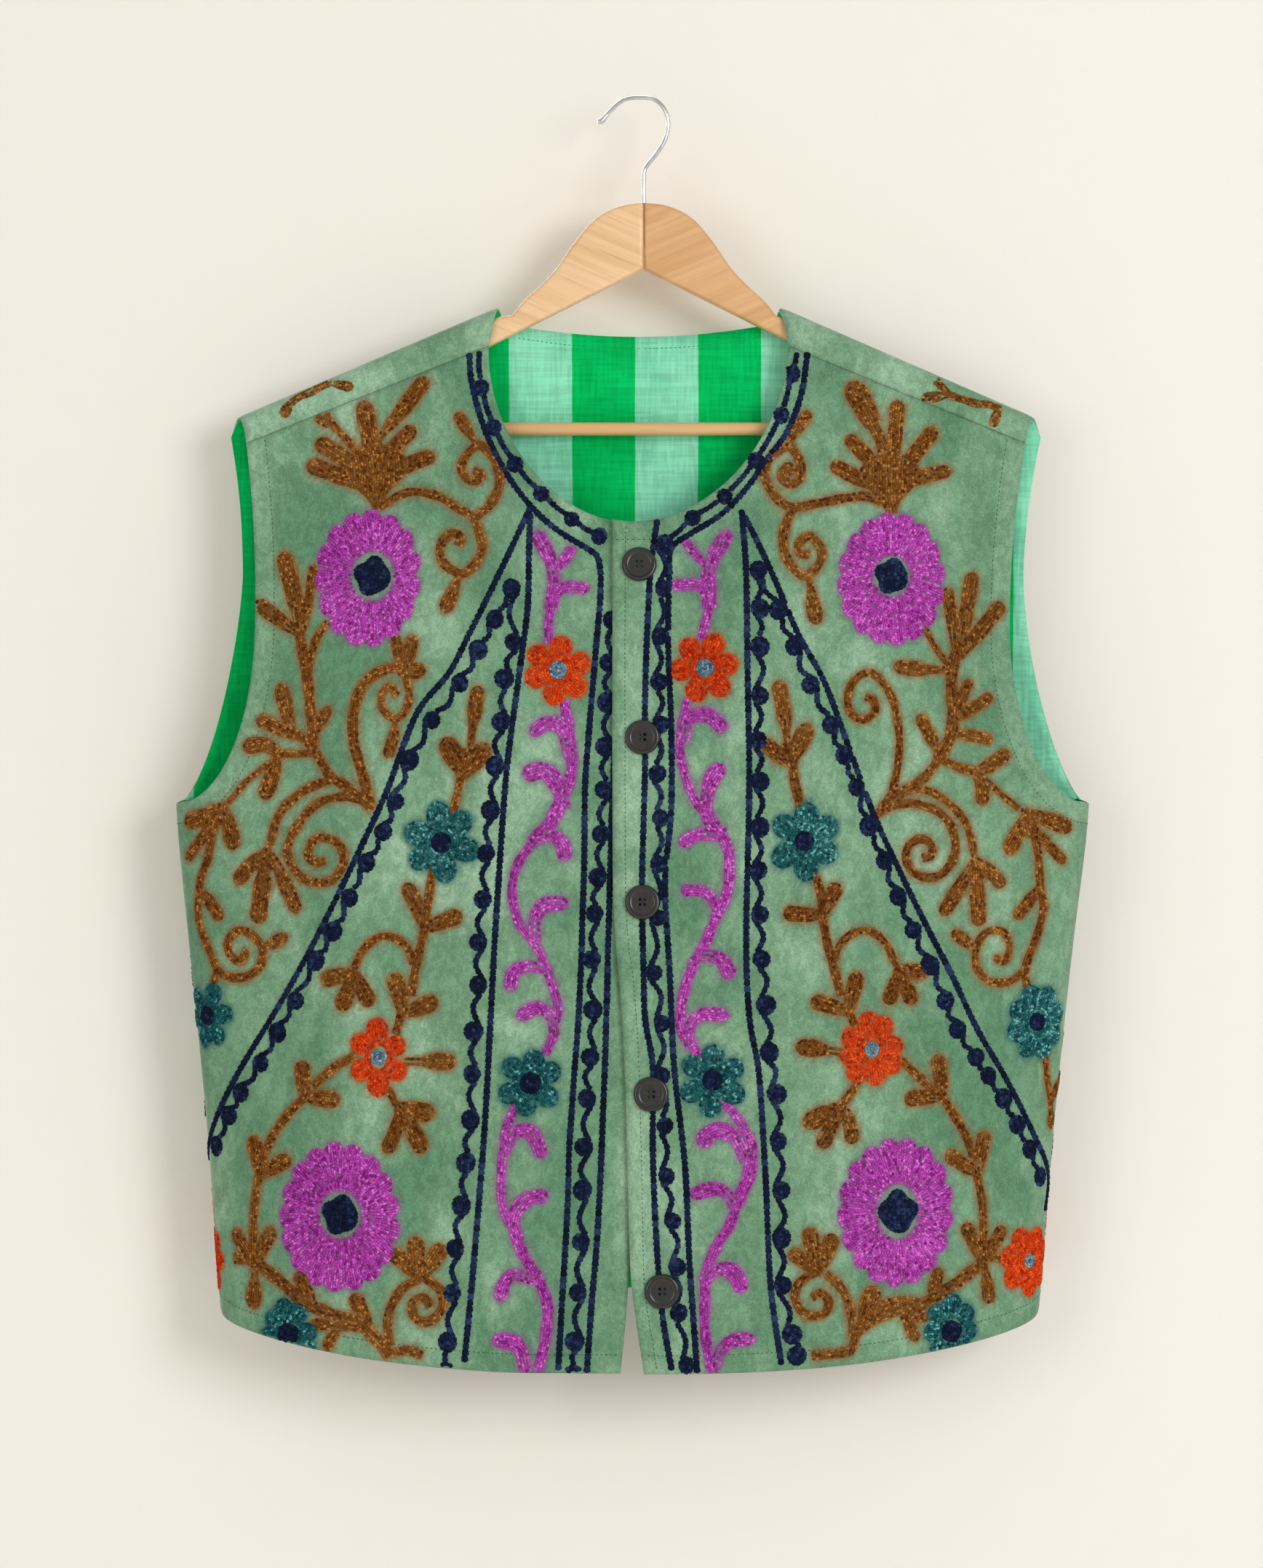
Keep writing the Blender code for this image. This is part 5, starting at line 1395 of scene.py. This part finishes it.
def stitched_piece(name, point, outward, along, size, tone, shape, material, uneven):
    """One plain mesh with the shape set on every point."""
    mesh = bpy.data.meshes.new(name)
    mesh.from_pydata(np.asarray(point).tolist(), [], [])
    for key, values in (("outward", outward), ("along", along), ("size", size)):
        layer = mesh.attributes.new(key, "FLOAT_VECTOR", "POINT")
        layer.data.foreach_set("vector", np.asarray(values, np.float32).ravel())
    layer = mesh.attributes.new("tone", "FLOAT", "POINT")
    layer.data.foreach_set("value", np.asarray(tone, np.float32))
    points = link(bpy.data.objects.new(name, mesh))
    modifier = points.modifiers.new("Stitches", "NODES")
    modifier.node_group = PLACING
    for key, value in (("shape", shape), ("yarn", material), ("uneven", uneven)):
        modifier[PLACING_INPUTS[key]] = value
    bpy.context.view_layer.update()
    graph = bpy.context.evaluated_depsgraph_get()
    made = bpy.data.meshes.new_from_object(
        points.evaluated_get(graph), preserve_all_data_layers=True, depsgraph=graph
    )
    bpy.data.objects.remove(points)
    for key in ("outward", "along", "size"):
        made.attributes.remove(made.attributes[key])
    made.name = name
    return link(bpy.data.objects.new(name, made))


# %% Dyed wool
LOOP_LENGTH, LOOP_WIDTH, LOOP_HEIGHT = 2.7, 2.15, 0.8  # in mm
ROPE_WIDTH, ROPE_HEIGHT = 2.65, 1.15
# dark, middle and light tone of each wool
WOOLS = {
    "ochre": (rgb(74, 34, 2), rgb(120, 71, 20), rgb(176, 122, 58)),
    "magenta": (rgb(124, 24, 116), rgb(170, 61, 166), rgb(212, 112, 208)),
    "orange": (rgb(148, 30, 0), rgb(202, 56, 4), rgb(230, 90, 26)),
    "teal": (rgb(0, 50, 57), rgb(22, 89, 94), rgb(106, 176, 174)),
    "navy": (rgb(3, 10, 30), rgb(12, 23, 52), rgb(38, 56, 92)),
    "steel": (rgb(58, 82, 104), rgb(98, 128, 148), rgb(150, 170, 180)),
}


def make_wool(name, dark, middle, light):
    paint = Paint(f"wool_{name}", 0.9, Specular_IOR_Level=0.12)
    tone = paint.attribute("tone") + (paint.noise(1200, 2) - 0.5) * 1.1
    colour = paint.mix(tone.step(0.0, 0.5), dark, middle)
    colour = paint.mix(tone.step(0.5, 1.0), colour, light)
    return paint.finish(colour, height=paint.noise(2200, 2), distance=0.0003, strength=0.6)


wools = {name: make_wool(name, *tones) for name, tones in WOOLS.items()}


def cloud(flat, seed):
    """A slow change of tone over the cloth, from -1 to 1, for yarn from several skeins."""
    x, z = flat[:, 0] + 31 * seed, flat[:, 1] - 17 * seed
    return np.sin(x / 19 + 1.3 * np.sin(z / 33)) * np.sin(z / 23 + 1.7 * np.sin(x / 41))


def sew(work, frames, suffix, coarse=1.0):
    """The stitches of one panel as one piece for each colour of wool."""
    flat, how, colours = work
    point, outward, across, up = frames(flat)
    way = how[:, :1] * across + how[:, 1:2] * up
    share = how[:, 2]
    rope = share > 1
    long = LOOP_LENGTH * np.where(rope, share, coarse)
    wide = np.where(rope, ROPE_WIDTH * share, LOOP_WIDTH * coarse)
    size = np.stack([long, wide, np.where(rope, ROPE_HEIGHT, LOOP_HEIGHT)], axis=1) / 1000
    tone = 0.46 + 0.22 * rng.standard_normal(len(flat)) + 0.12 * cloud(flat, len(suffix))
    pieces = []
    for name, material in wools.items():
        pick = colours == name
        if pick.any():
            parts = (a[pick] for a in (point, outward, way, size, tone))
            uneven = 0.2 if name == "navy" else 0.5
            pieces.append(stitched_piece(f"stitches_{name}_{suffix}", *parts, wool_loop, material, uneven))
    return pieces


def front_frames(side):
    def frames(flat):
        across, height = flat.T / 1000
        point, outward, right = cloth_frame(across, height, "front", front_drop(across, side))
        return point, outward, right, np.cross(outward, right)

    return frames


def back_frames(flat, drop=0.0, side=1):
    """Frames on the back, or drop metres in with side -1 for its inner face."""
    across, height = flat.T / 1000
    point, outward, right = cloth_frame(across, height, "back", drop)
    return point, side * outward, right, np.cross(right, outward)


def lining_frames(flat):
    return back_frames(flat, VELVET + SEAM_GAP + LINING, -1)


def strip_frames(flat):
    """Seen places on the back's shoulder, where it turns over the ridge."""
    near = 1 - RIDGE_RADIUS / CAMERA_DISTANCE
    x, z = (VIEW_MIDDLE[k] + (flat[:, k] / 1000 - VIEW_MIDDLE[k]) * near for k in (0, 1))
    offset = x - body(z, "middle")
    base = ridge_height(offset) - RIDGE_RADIUS
    height = np.minimum(z, base)
    low, low_normal, low_right = cloth_frame(across_from_x(offset, height, "front"), height, "front")
    t = np.clip((z - base) / RIDGE_RADIUS, 0, 0.97)
    turn, depth = np.sign(offset) * RIDGE_SLOPE, np.sqrt(1 - t * t)
    high = np.stack([x, -RIDGE_RADIUS * depth, base + t * RIDGE_RADIUS], axis=1)
    high_normal = np.stack([turn * t, -depth, t], axis=1)
    high_right = np.stack([np.ones_like(t), 0 * t, -turn], axis=1)
    over_top = (t > 0)[:, None]
    point, normal, right = (
        np.where(over_top, a / size, b)
        for a, b, size in (
            (high, low, 1.0),
            (high_normal, low_normal, np.linalg.norm(high_normal, axis=1)[:, None]),
            (high_right, low_right, np.linalg.norm(high_right, axis=1)[:, None]),
        )
    )
    return point, normal, right, np.cross(normal, right)


under_pieces = sew(under_work, front_frames(-1), "right")
over_pieces = sew(over_work, front_frames(1), "left")
back_pieces = sew(rear_work, back_frames, "back", rear.coarse)
for name, work in zip(("strip_right", "strip_left"), strip_works):
    back_pieces += sew(work, strip_frames, name)


def triangles(obj):
    return sum(len(face.vertices) - 2 for face in obj.data.polygons)


wool_pieces = under_pieces + over_pieces + back_pieces
print("embroidery triangles:", {p.name: triangles(p) for p in wool_pieces})

# %% [markdown]
# ## Seams
#
# The armholes, hems and front edge are turned in and sewn down by machine, and only a
# line of small dashes shows. A drawn line would look flat at the seams, so each dash is
# a thin bit of thread, set by the same nodes.


# %% Rows of sewing thread
DASH_PITCH, DASH_MARGIN = 3.0, 2.5  # in mm
DASH_SIZE = (0.0025, 0.0008, 0.0004)


def beside(line, distance):
    """A line moved to its left by distance."""
    along = np.gradient(line, axis=0)
    along /= np.maximum(np.hypot(*along.T), 1e-9)[:, None]
    return line + distance * np.stack([-along[:, 1], along[:, 0]], axis=1)


def topstitch(name, frames, lines, outline, material):
    """Dashes of thread along lines on the cloth, kept off the outline."""
    rows = [even_line(line[:: max(1, len(line) // 30)], DASH_PITCH) for line in lines]
    flat = np.concatenate([row[0] for row in rows])
    normal = np.concatenate([row[1] for row in rows])
    keep = inside(outline, flat) & (edge_distance(outline, flat) > DASH_MARGIN)
    flat, normal = flat[keep], normal[keep]
    point, outward, right, up = frames(flat)
    along = normal[:, 1:] * right - normal[:, :1] * up
    size = np.tile(DASH_SIZE, (len(flat), 1))
    tone = np.full(len(flat), 0.5)
    return stitched_piece(name, point, outward, along, size, tone, thread_dash, material, 0.1)


def make_thread(name, colour):
    paint = Paint(name, 0.7)
    return paint.finish(paint.mix(paint.noise(700, 2) * 0.4, colour, rgb(20, 30, 24)))


dark_thread = make_thread("thread_dark_green", rgb(44, 84, 62))
pale_thread = make_thread("thread_pale_green", rgb(40, 150, 96))
short_row = on_cloth([(-12, -287), (-2, -287), (9, -287)])
neck_across = np.linspace(-78, 78, 31)
neck_corner = (float(ridge_height(NECK_CORNER)) - RIDGE_RADIUS) * 1000
neck_share = (neck_across / (NECK_CORNER * 1000)) ** 2
neck_height = BACK_NECK_HEIGHT * 1000 + (neck_corner - BACK_NECK_HEIGHT * 1000) * neck_share
neck_row = np.stack([neck_across, neck_height - NECK_STITCHING], axis=1)
rear_rows = [beside(rear_grid[BACK_SEAM:, 0], -FACING), beside(rear_grid[BACK_SEAM:, -1], FACING)]
seam_lines = (
    ("seams_right", front_frames(-1), under_edges["outline"], dark_thread,
     [beside(under_edges["armhole"], -FACING), beside(under_edges["hem"], -HEM)]),
    ("seams_left", front_frames(1), over_edges["outline"], dark_thread,
     [beside(over_edges["armhole"], FACING), beside(over_edges["hem"], HEM),
      beside(over_edges["front"], -FRONT_STITCHING), short_row]),
    ("seams_back", back_frames, rear_outline, dark_thread, [*rear_rows, beside(rear_grid[0], HEM)]),
    ("seams_neck", lining_frames, rear_outline, pale_thread, [neck_row]),
)
seams = [
    topstitch(name, frames, lines, outline, thread)
    for name, frames, outline, thread, lines in seam_lines
]
print("sewing thread triangles:", {p.name: triangles(p) for p in seams})

# %% [markdown]
# ## Hanger, hook and buttons
#
# The hanger is two flat beech arms, glued at the middle, with a round bar let into the
# tips and a plated wire hook. The outlines are those of the CAD, with finer rounding.

# %% Hanger
HANGER_MIDDLE, HANGER_THICKNESS, HANGER_EDGE_ROUND = 0.0052, 0.011, 0.003
HANGER_TOP = (
    (0.0, -0.0676), (0.0124, -0.0689), (0.024, -0.073), (0.0327, -0.0788), (0.04, -0.0868),
    (0.0473, -0.0962), (0.0531, -0.105), (0.0603, -0.1143), (0.069, -0.123), (0.0765, -0.1296),
    (0.0818, -0.1352),
)
HANGER_TIP = (
    (0.23, -0.204), (0.2325, -0.213), (0.2305, -0.222), (0.224, -0.2262), (0.218, -0.2244),
)
HANGER_BOTTOM = ((0.205, -0.2136), (0.0, -0.1112))
ARM_STRAIGHT, ARM_BELOW_RIDGE = (0.086, 0.224), 0.0065
BAR_HEIGHT, BAR_RADIUS, BAR_HALF_LENGTH = -0.215, 0.0043, 0.222
WIRE_RADIUS, HOOK_TIP_RADIUS = 0.0013, 0.0019
HOOK_PATH = (
    (0.0052, -0.096), (0.0052, -0.07), (0.0053, -0.049), (0.0072, -0.0432), (0.0124, -0.0366),
    (0.0186, -0.027), (0.0212, -0.0165), (0.019, -0.0068), (0.0122, 0.0), (0.0025, 0.0013),
    (-0.0055, 0.0006), (-0.0112, -0.0022), (-0.0162, -0.0068), (-0.0203, -0.0115), (-0.0226, -0.0139),
    (-0.025, -0.0144),
)


def as_mesh(obj):
    """The object's evaluated form as a plain mesh object of the same name."""
    bpy.context.view_layer.update()
    graph = bpy.context.evaluated_depsgraph_get()
    mesh = bpy.data.meshes.new_from_object(obj.evaluated_get(graph))
    mesh.transform(obj.matrix_world)
    name = obj.name
    bpy.data.objects.remove(obj)
    close_up(mesh)
    mesh.name = name
    mesh.materials.clear()
    return link(bpy.data.objects.new(name, mesh))


def make_wood(name, pale, dark, lean):
    """Straight grain, turned to run along the piece, in two tones with small flecks."""
    paint = Paint(name, 0.42, Coat_Weight=0.25, Coat_Roughness=0.25)
    inputs = {"Vector": paint.place, "Rotation": (0, lean, 0)}
    paint.place = paint.graph.node("ShaderNodeMapping", None, inputs)
    bands = paint.noise(30, 4, (0.12, 1, 2.6), 0.8)
    fibre = paint.noise(420, 3, (0.03, 1, 1))
    flecks = paint.noise(260, 2, (0.06, 1, 2.2), 0.0, 7.0)
    colour = paint.mix(bands.step(0.35, 0.65), pale, dark)
    colour = paint.mix(fibre.step(0.35, 0.75) * 0.22, colour, rgb(166, 112, 68))
    colour = paint.mix(flecks.step(0.66, 0.74) * 0.3, colour, rgb(150, 98, 56))
    return paint.finish(colour, roughness=0.36 + 0.16 * fibre, height=fibre, distance=0.0001)


def make_arm(side, name, material):
    reach = np.linspace(*ARM_STRAIGHT, 17)
    x = HANGER_MIDDLE + side * reach
    top = ridge_height(x - float(body(RIDGE_HEIGHT, "middle"))) - ARM_BELOW_RIDGE
    outline = [*smooth_line(HANGER_TOP, 3)[:-1], *zip(reach, top), *HANGER_TIP, *HANGER_BOTTOM]
    curve = bpy.data.curves.new(name, "CURVE")
    curve.dimensions, curve.fill_mode = "2D", "BOTH"
    curve.extrude = HANGER_THICKNESS / 2 - HANGER_EDGE_ROUND
    curve.bevel_depth, curve.bevel_resolution = HANGER_EDGE_ROUND, 4
    curve.offset = -HANGER_EDGE_ROUND
    spline = curve.splines.new("POLY")
    spline.points.add(len(outline) - 1)
    for point, (distance, height) in zip(spline.points, outline):
        point.co = (HANGER_MIDDLE + side * max(distance, SEAM_GAP / 2), height, 0.0, 1.0)
    spline.use_cyclic_u = True
    flat = link(bpy.data.objects.new(name, curve))
    flat.rotation_euler = (math.pi / 2, 0.0, 0.0)
    arm = as_mesh(flat)
    arm.data.shade_smooth()
    arm.data.set_sharp_from_angle(angle=math.radians(40))
    arm.data.materials.append(material)
    return arm


def tube(name, path, radii, sides, material):
    """A round bar or wire along (x, y, z) points, capped at both ends."""
    curve = bpy.data.curves.new(name, "CURVE")
    curve.dimensions, curve.bevel_depth = "3D", 1.0
    curve.bevel_resolution, curve.use_fill_caps = sides // 4 - 1, True
    spline = curve.splines.new("POLY")
    spline.points.add(len(path) - 1)
    for point, place, radius in zip(spline.points, path, radii):
        point.co, point.radius = (*place, 1.0), radius
    made = as_mesh(link(bpy.data.objects.new(name, curve)))
    made.data.shade_smooth()
    made.data.set_sharp_from_angle(angle=math.radians(50))
    made.data.materials.append(material)
    return made


def make_hook():
    steel = Paint("plated_steel", 0.16, Metallic=1.0)
    tarnish = steel.noise(160, 3)
    colour = steel.mix(tarnish.step(0.35, 0.7), rgb(196, 196, 200), rgb(226, 226, 228))
    steel.finish(colour, roughness=0.1 + 0.16 * tarnish)
    line = smooth_line(HOOK_PATH, 8)
    radii = np.full(len(line), WIRE_RADIUS)
    radii[-20:] *= 1 + (HOOK_TIP_RADIUS / WIRE_RADIUS - 1) * np.sin(np.linspace(0, 2.4, 20))
    path = [(x, 0.0, z) for x, z in line]
    return tube("hook_wire", path, radii, 16, steel.material)


lean = math.atan(RIDGE_SLOPE)
pale_wood = make_wood("beech_left", rgb(229, 192, 148), rgb(219, 178, 130), -lean)
warm_wood = make_wood("beech_right", rgb(212, 168, 116), rgb(200, 152, 99), lean)
bar_wood = make_wood("beech_bar", rgb(224, 186, 130), rgb(208, 168, 112), 0.0)
arm_right = make_arm(-1, "arm_right_beech", pale_wood)
arm_left = make_arm(1, "arm_left_beech", warm_wood)
bar_ends = np.linspace(HANGER_MIDDLE - BAR_HALF_LENGTH, HANGER_MIDDLE + BAR_HALF_LENGTH, 7)
bar = tube("bar_beech", [(x, 0, BAR_HEIGHT) for x in bar_ends], [BAR_RADIUS] * 7, 32, bar_wood)
hook = make_hook()
print("hook wire triangles:", triangles(hook))

# %% [markdown]
# The buttons are turned discs with a raised rim and four holes, sewn on with crossed
# thread. A bevelled cylinder would have no rim. So a section is turned round by hand, and
# a flat curve with its holes makes the sunken middle.

# %% Buttons
BUTTON_PLACES = (
    (0.002, -0.305), (0.0041, -0.4167), (0.0041, -0.5226), (0.0096, -0.6452), (0.0167, -0.7708),
)
BUTTON_RADIUS, BUTTON_CLEARANCE = 0.01125, 0.0005
CROSSED_THREAD_SIZE, CROSSED_THREAD_RISE = (0.0052, 0.0011, 0.0007), 0.0019


def make_button(number, x, height, material):
    """A turned disc with a raised rim and four holes through its sunken middle."""
    well, hole, spacing, level = 0.0072, 0.001, 0.0032, 0.0013
    curve = bpy.data.curves.new("well", "CURVE")
    curve.dimensions, curve.fill_mode = "2D", "BOTH"
    curve.extrude = 0.0007
    half = spacing / 2
    rings = [(0, 0, well, 48)]
    rings += [(sx * half, sy * half, hole, 16) for sx in (-1, 1) for sy in (-1, 1)]
    for cx, cy, radius, sides in rings:
        spline = curve.splines.new("POLY")
        spline.points.add(sides - 1)
        for n, point in enumerate(spline.points):
            angle = 2 * math.pi * n / sides
            point.co = (cx + radius * math.cos(angle), cy + radius * math.sin(angle), 0, 1)
        spline.use_cyclic_u = True
    middle = link(bpy.data.objects.new("well", curve))
    middle.location.z = level
    middle = as_mesh(middle)
    section = (
        (well - 0.0001, 0.002), (well + 0.0004, 0.00202), (well + 0.0012, 0.0026), (well + 0.0019, 0.0033),
        (well + 0.0026, 0.0034), (well + 0.0033, 0.0031), (BUTTON_RADIUS - 0.0003, 0.0024),
        (BUTTON_RADIUS, 0.0016), (BUTTON_RADIUS - 0.0005, 0.0009), (well + 0.0012, 0.0001),
        (well - 0.0001, 0.0006),
    )
    sides = 64
    edit = bmesh.new()
    edit.from_mesh(middle.data)
    loops = []
    for n in range(sides):
        angle = 2 * math.pi * n / sides
        loops.append([edit.verts.new((r * math.cos(angle), r * math.sin(angle), z)) for r, z in section])
    for n in range(sides):
        a, b = loops[n], loops[(n + 1) % sides]
        for k in range(len(section)):
            m = (k + 1) % len(section)
            edit.faces.new((a[k], a[m], b[m], b[k]))
    bmesh.ops.recalc_face_normals(edit, faces=edit.faces)
    across = across_from_x(x - float(body(height, "middle")), height, "front")
    point, normal, _ = cloth_frame(across, np.array([height]), "front")
    point, normal = Vector(point[0]), Vector(normal[0])
    turn = normal.to_track_quat("Z", "Y").to_matrix().to_4x4()
    edit.transform(Matrix.Translation(point + normal * BUTTON_CLEARANCE) @ turn)
    mesh = middle.data
    edit.to_mesh(mesh)
    edit.free()
    mesh.name = middle.name = f"button_turned_{number}"
    mesh.shade_smooth()
    mesh.set_sharp_from_angle(angle=math.radians(35))
    mesh.materials.append(material)
    return middle


plastic = Paint("black_plastic", 0.2, Coat_Weight=0.3, Coat_Roughness=0.1)
scuff = plastic.noise(300, 3)
plastic.finish(plastic.mix(scuff, rgb(16, 15, 13), rgb(34, 32, 29)), roughness=0.16 + 0.2 * scuff)
buttons = [make_button(n, x, z, plastic.material) for n, (x, z) in enumerate(BUTTON_PLACES, 1)]


def button_threads():
    """Two crossed stitches through the four holes of each button."""
    x, z = np.array(BUTTON_PLACES).T
    point, outward, right = cloth_frame(across_from_x(x - body(z, "middle"), z, "front"), z, "front")
    up = np.cross(outward, right)
    face = np.tile(point + outward * (BUTTON_CLEARANCE + CROSSED_THREAD_RISE), (2, 1))
    size = np.tile(CROSSED_THREAD_SIZE, (len(face), 1))
    normals, ways = np.tile(outward, (2, 1)), np.concatenate([right + up, right - up])
    tone = np.full(len(face), 0.5)
    black = make_thread("thread_black", rgb(34, 36, 34))
    return stitched_piece("button_threads", face, normals, ways, size, tone, thread_dash, black, 0.05)


seams.append(button_threads())
print("button triangles:", triangles(buttons[0]))

# %% [markdown]
# ## Stage, light and camera
#
# The photo shows a pale wall a few centimetres behind the vest, lit softly from the upper
# right. The wall is seen from its front only, so that the back can be viewed too.

# %% Stage
WALL_Y, FLOOR_Z = 0.046, -1.2


def make_wall():
    paint = Paint("wall_paint", 0.95)
    # painted light: the wall is a little paler low down and darker high up, against the lamps' falloff
    painted_light_gradient = paint.axis("Z").step(-0.95, 0.05)
    fleck = paint.noise(24, 4)
    base = paint.mix(painted_light_gradient, rgb(234, 230, 224), rgb(230, 226, 219))
    colour = paint.mix(fleck * 0.25, base, rgb(225, 221, 214))
    paint.finish(colour, height=paint.noise(220, 3), distance=0.0004, strength=0.25)
    facing = paint.graph.node("ShaderNodeNewGeometry", output="Backfacing")
    clear = paint.graph.node("ShaderNodeBsdfTransparent")
    shader = Value(paint.graph, paint.shader.outputs[0])
    both = paint.graph.node("ShaderNodeMixShader", None, {0: facing, 1: shader, 2: clear})
    out = paint.graph.tree.nodes["Material Output"]
    paint.graph.tree.links.new(both.socket, out.inputs["Surface"])
    return paint.material


def plane(name, corners, material):
    mesh = bpy.data.meshes.new(name)
    mesh.from_pydata(corners, [], [(0, 1, 2, 3)])
    mesh.materials.append(material)
    return link(bpy.data.objects.new(name, mesh))


wall_corners = [(x, WALL_Y, z) for x, z in ((-1.5, FLOOR_Z), (1.5, FLOOR_Z), (1.5, 0.8), (-1.5, 0.8))]
wall = plane("stage_wall", wall_corners, make_wall())
wall.visible_shadow = wall.visible_diffuse = wall.visible_glossy = False
ground = Paint("floor_paint", 0.9)
ground.finish(ground.mix(ground.noise(3, 3) * 0.3, rgb(240, 236, 228), rgb(228, 223, 213)))
floor_corners = [(x, y, FLOOR_Z) for x, y in ((-3, -3), (3, -3), (3, 3), (-3, 3))]
floor = plane("stage_floor", floor_corners, ground.material)


def area_light(name, place, aim, size, power, colour):
    data = bpy.data.lights.new(name, "AREA")
    data.shape, data.size, data.energy, data.color = "DISK", size, power, colour
    lamp = link(bpy.data.objects.new(name, data))
    lamp.location = place
    lamp.rotation_euler = (Vector(aim) - Vector(place)).to_track_quat("-Z", "Y").to_euler()


CHEST, WORLD_STRENGTH = (0, 0, -0.47), 0.62
area_light("key", (2.2, -3.3, 0.3), CHEST, 1.7, 70, (0.995, 0.99, 0.982))
area_light("fill", (-2.0, -3.0, -0.1), CHEST, 1.8, 20, (1.0, 0.965, 0.9))
area_light("behind", (-0.6, 2.4, 0.8), (0, 0, -0.45), 1.6, 34, (1.0, 0.99, 0.97))
world = bpy.data.worlds.new("studio")
world.use_nodes = True
world.node_tree.nodes["Background"].inputs[0].default_value = (1.0, 0.975, 0.94, 1)
world.node_tree.nodes["Background"].inputs[1].default_value = WORLD_STRENGTH
bpy.context.scene.world = world

SENSOR = 36.0
lens = bpy.data.cameras.new("photo_view")
lens.sensor_width, lens.lens = SENSOR, SENSOR * CAMERA_DISTANCE / VIEW_HEIGHT
lens.clip_start, lens.clip_end = 0.05, 50
camera = link(bpy.data.objects.new("photo_view", lens))
camera.location = (VIEW_MIDDLE[0], -CAMERA_DISTANCE, VIEW_MIDDLE[1])
camera.rotation_euler = (math.pi / 2, 0, 0)
bpy.context.scene.camera = camera
bpy.context.scene.view_settings.view_transform = "Standard"
print("lens in mm:", round(lens.lens, 1))

# %% [markdown]
# ## Give every piece its place in the frame
# The whole vest and its hanger are one rigid body, so each piece rides on the root. Each
# cloth panel also says how it was cut and what carries it.

# %% Pieces
PIECES = (
    (front_left, "front_left", "velvet"),
    (front_right, "front_right", "velvet"),
    (back, "back", "velvet"),
    (lining, "back_lining", "lining_cotton"),
    (arm_right, "hanger_arm_right", "beech_wood"),
    (arm_left, "hanger_arm_left", "beech_wood"),
    (bar, "hanger_bar", "beech_wood"),
    (hook, "hanger_hook", "hook_steel"),
    *((button, f"button_{n}", "button_plastic") for n, button in enumerate(buttons, 1)),
)
for piece, node, finish in PIECES:
    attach(piece, "root")
    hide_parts(node)
for piece in wool_pieces + seams:
    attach(piece, "root")
grid_area(over_columns)
grid_area(under_columns)
grid_area(back_all)
grid_area(lining_columns)
counts = {o.name: triangles(o) for o in [row[0] for row in PIECES] + wool_pieces + seams}
print("most triangles in a piece:", max(counts.values()), "and in all:", sum(counts.values()))
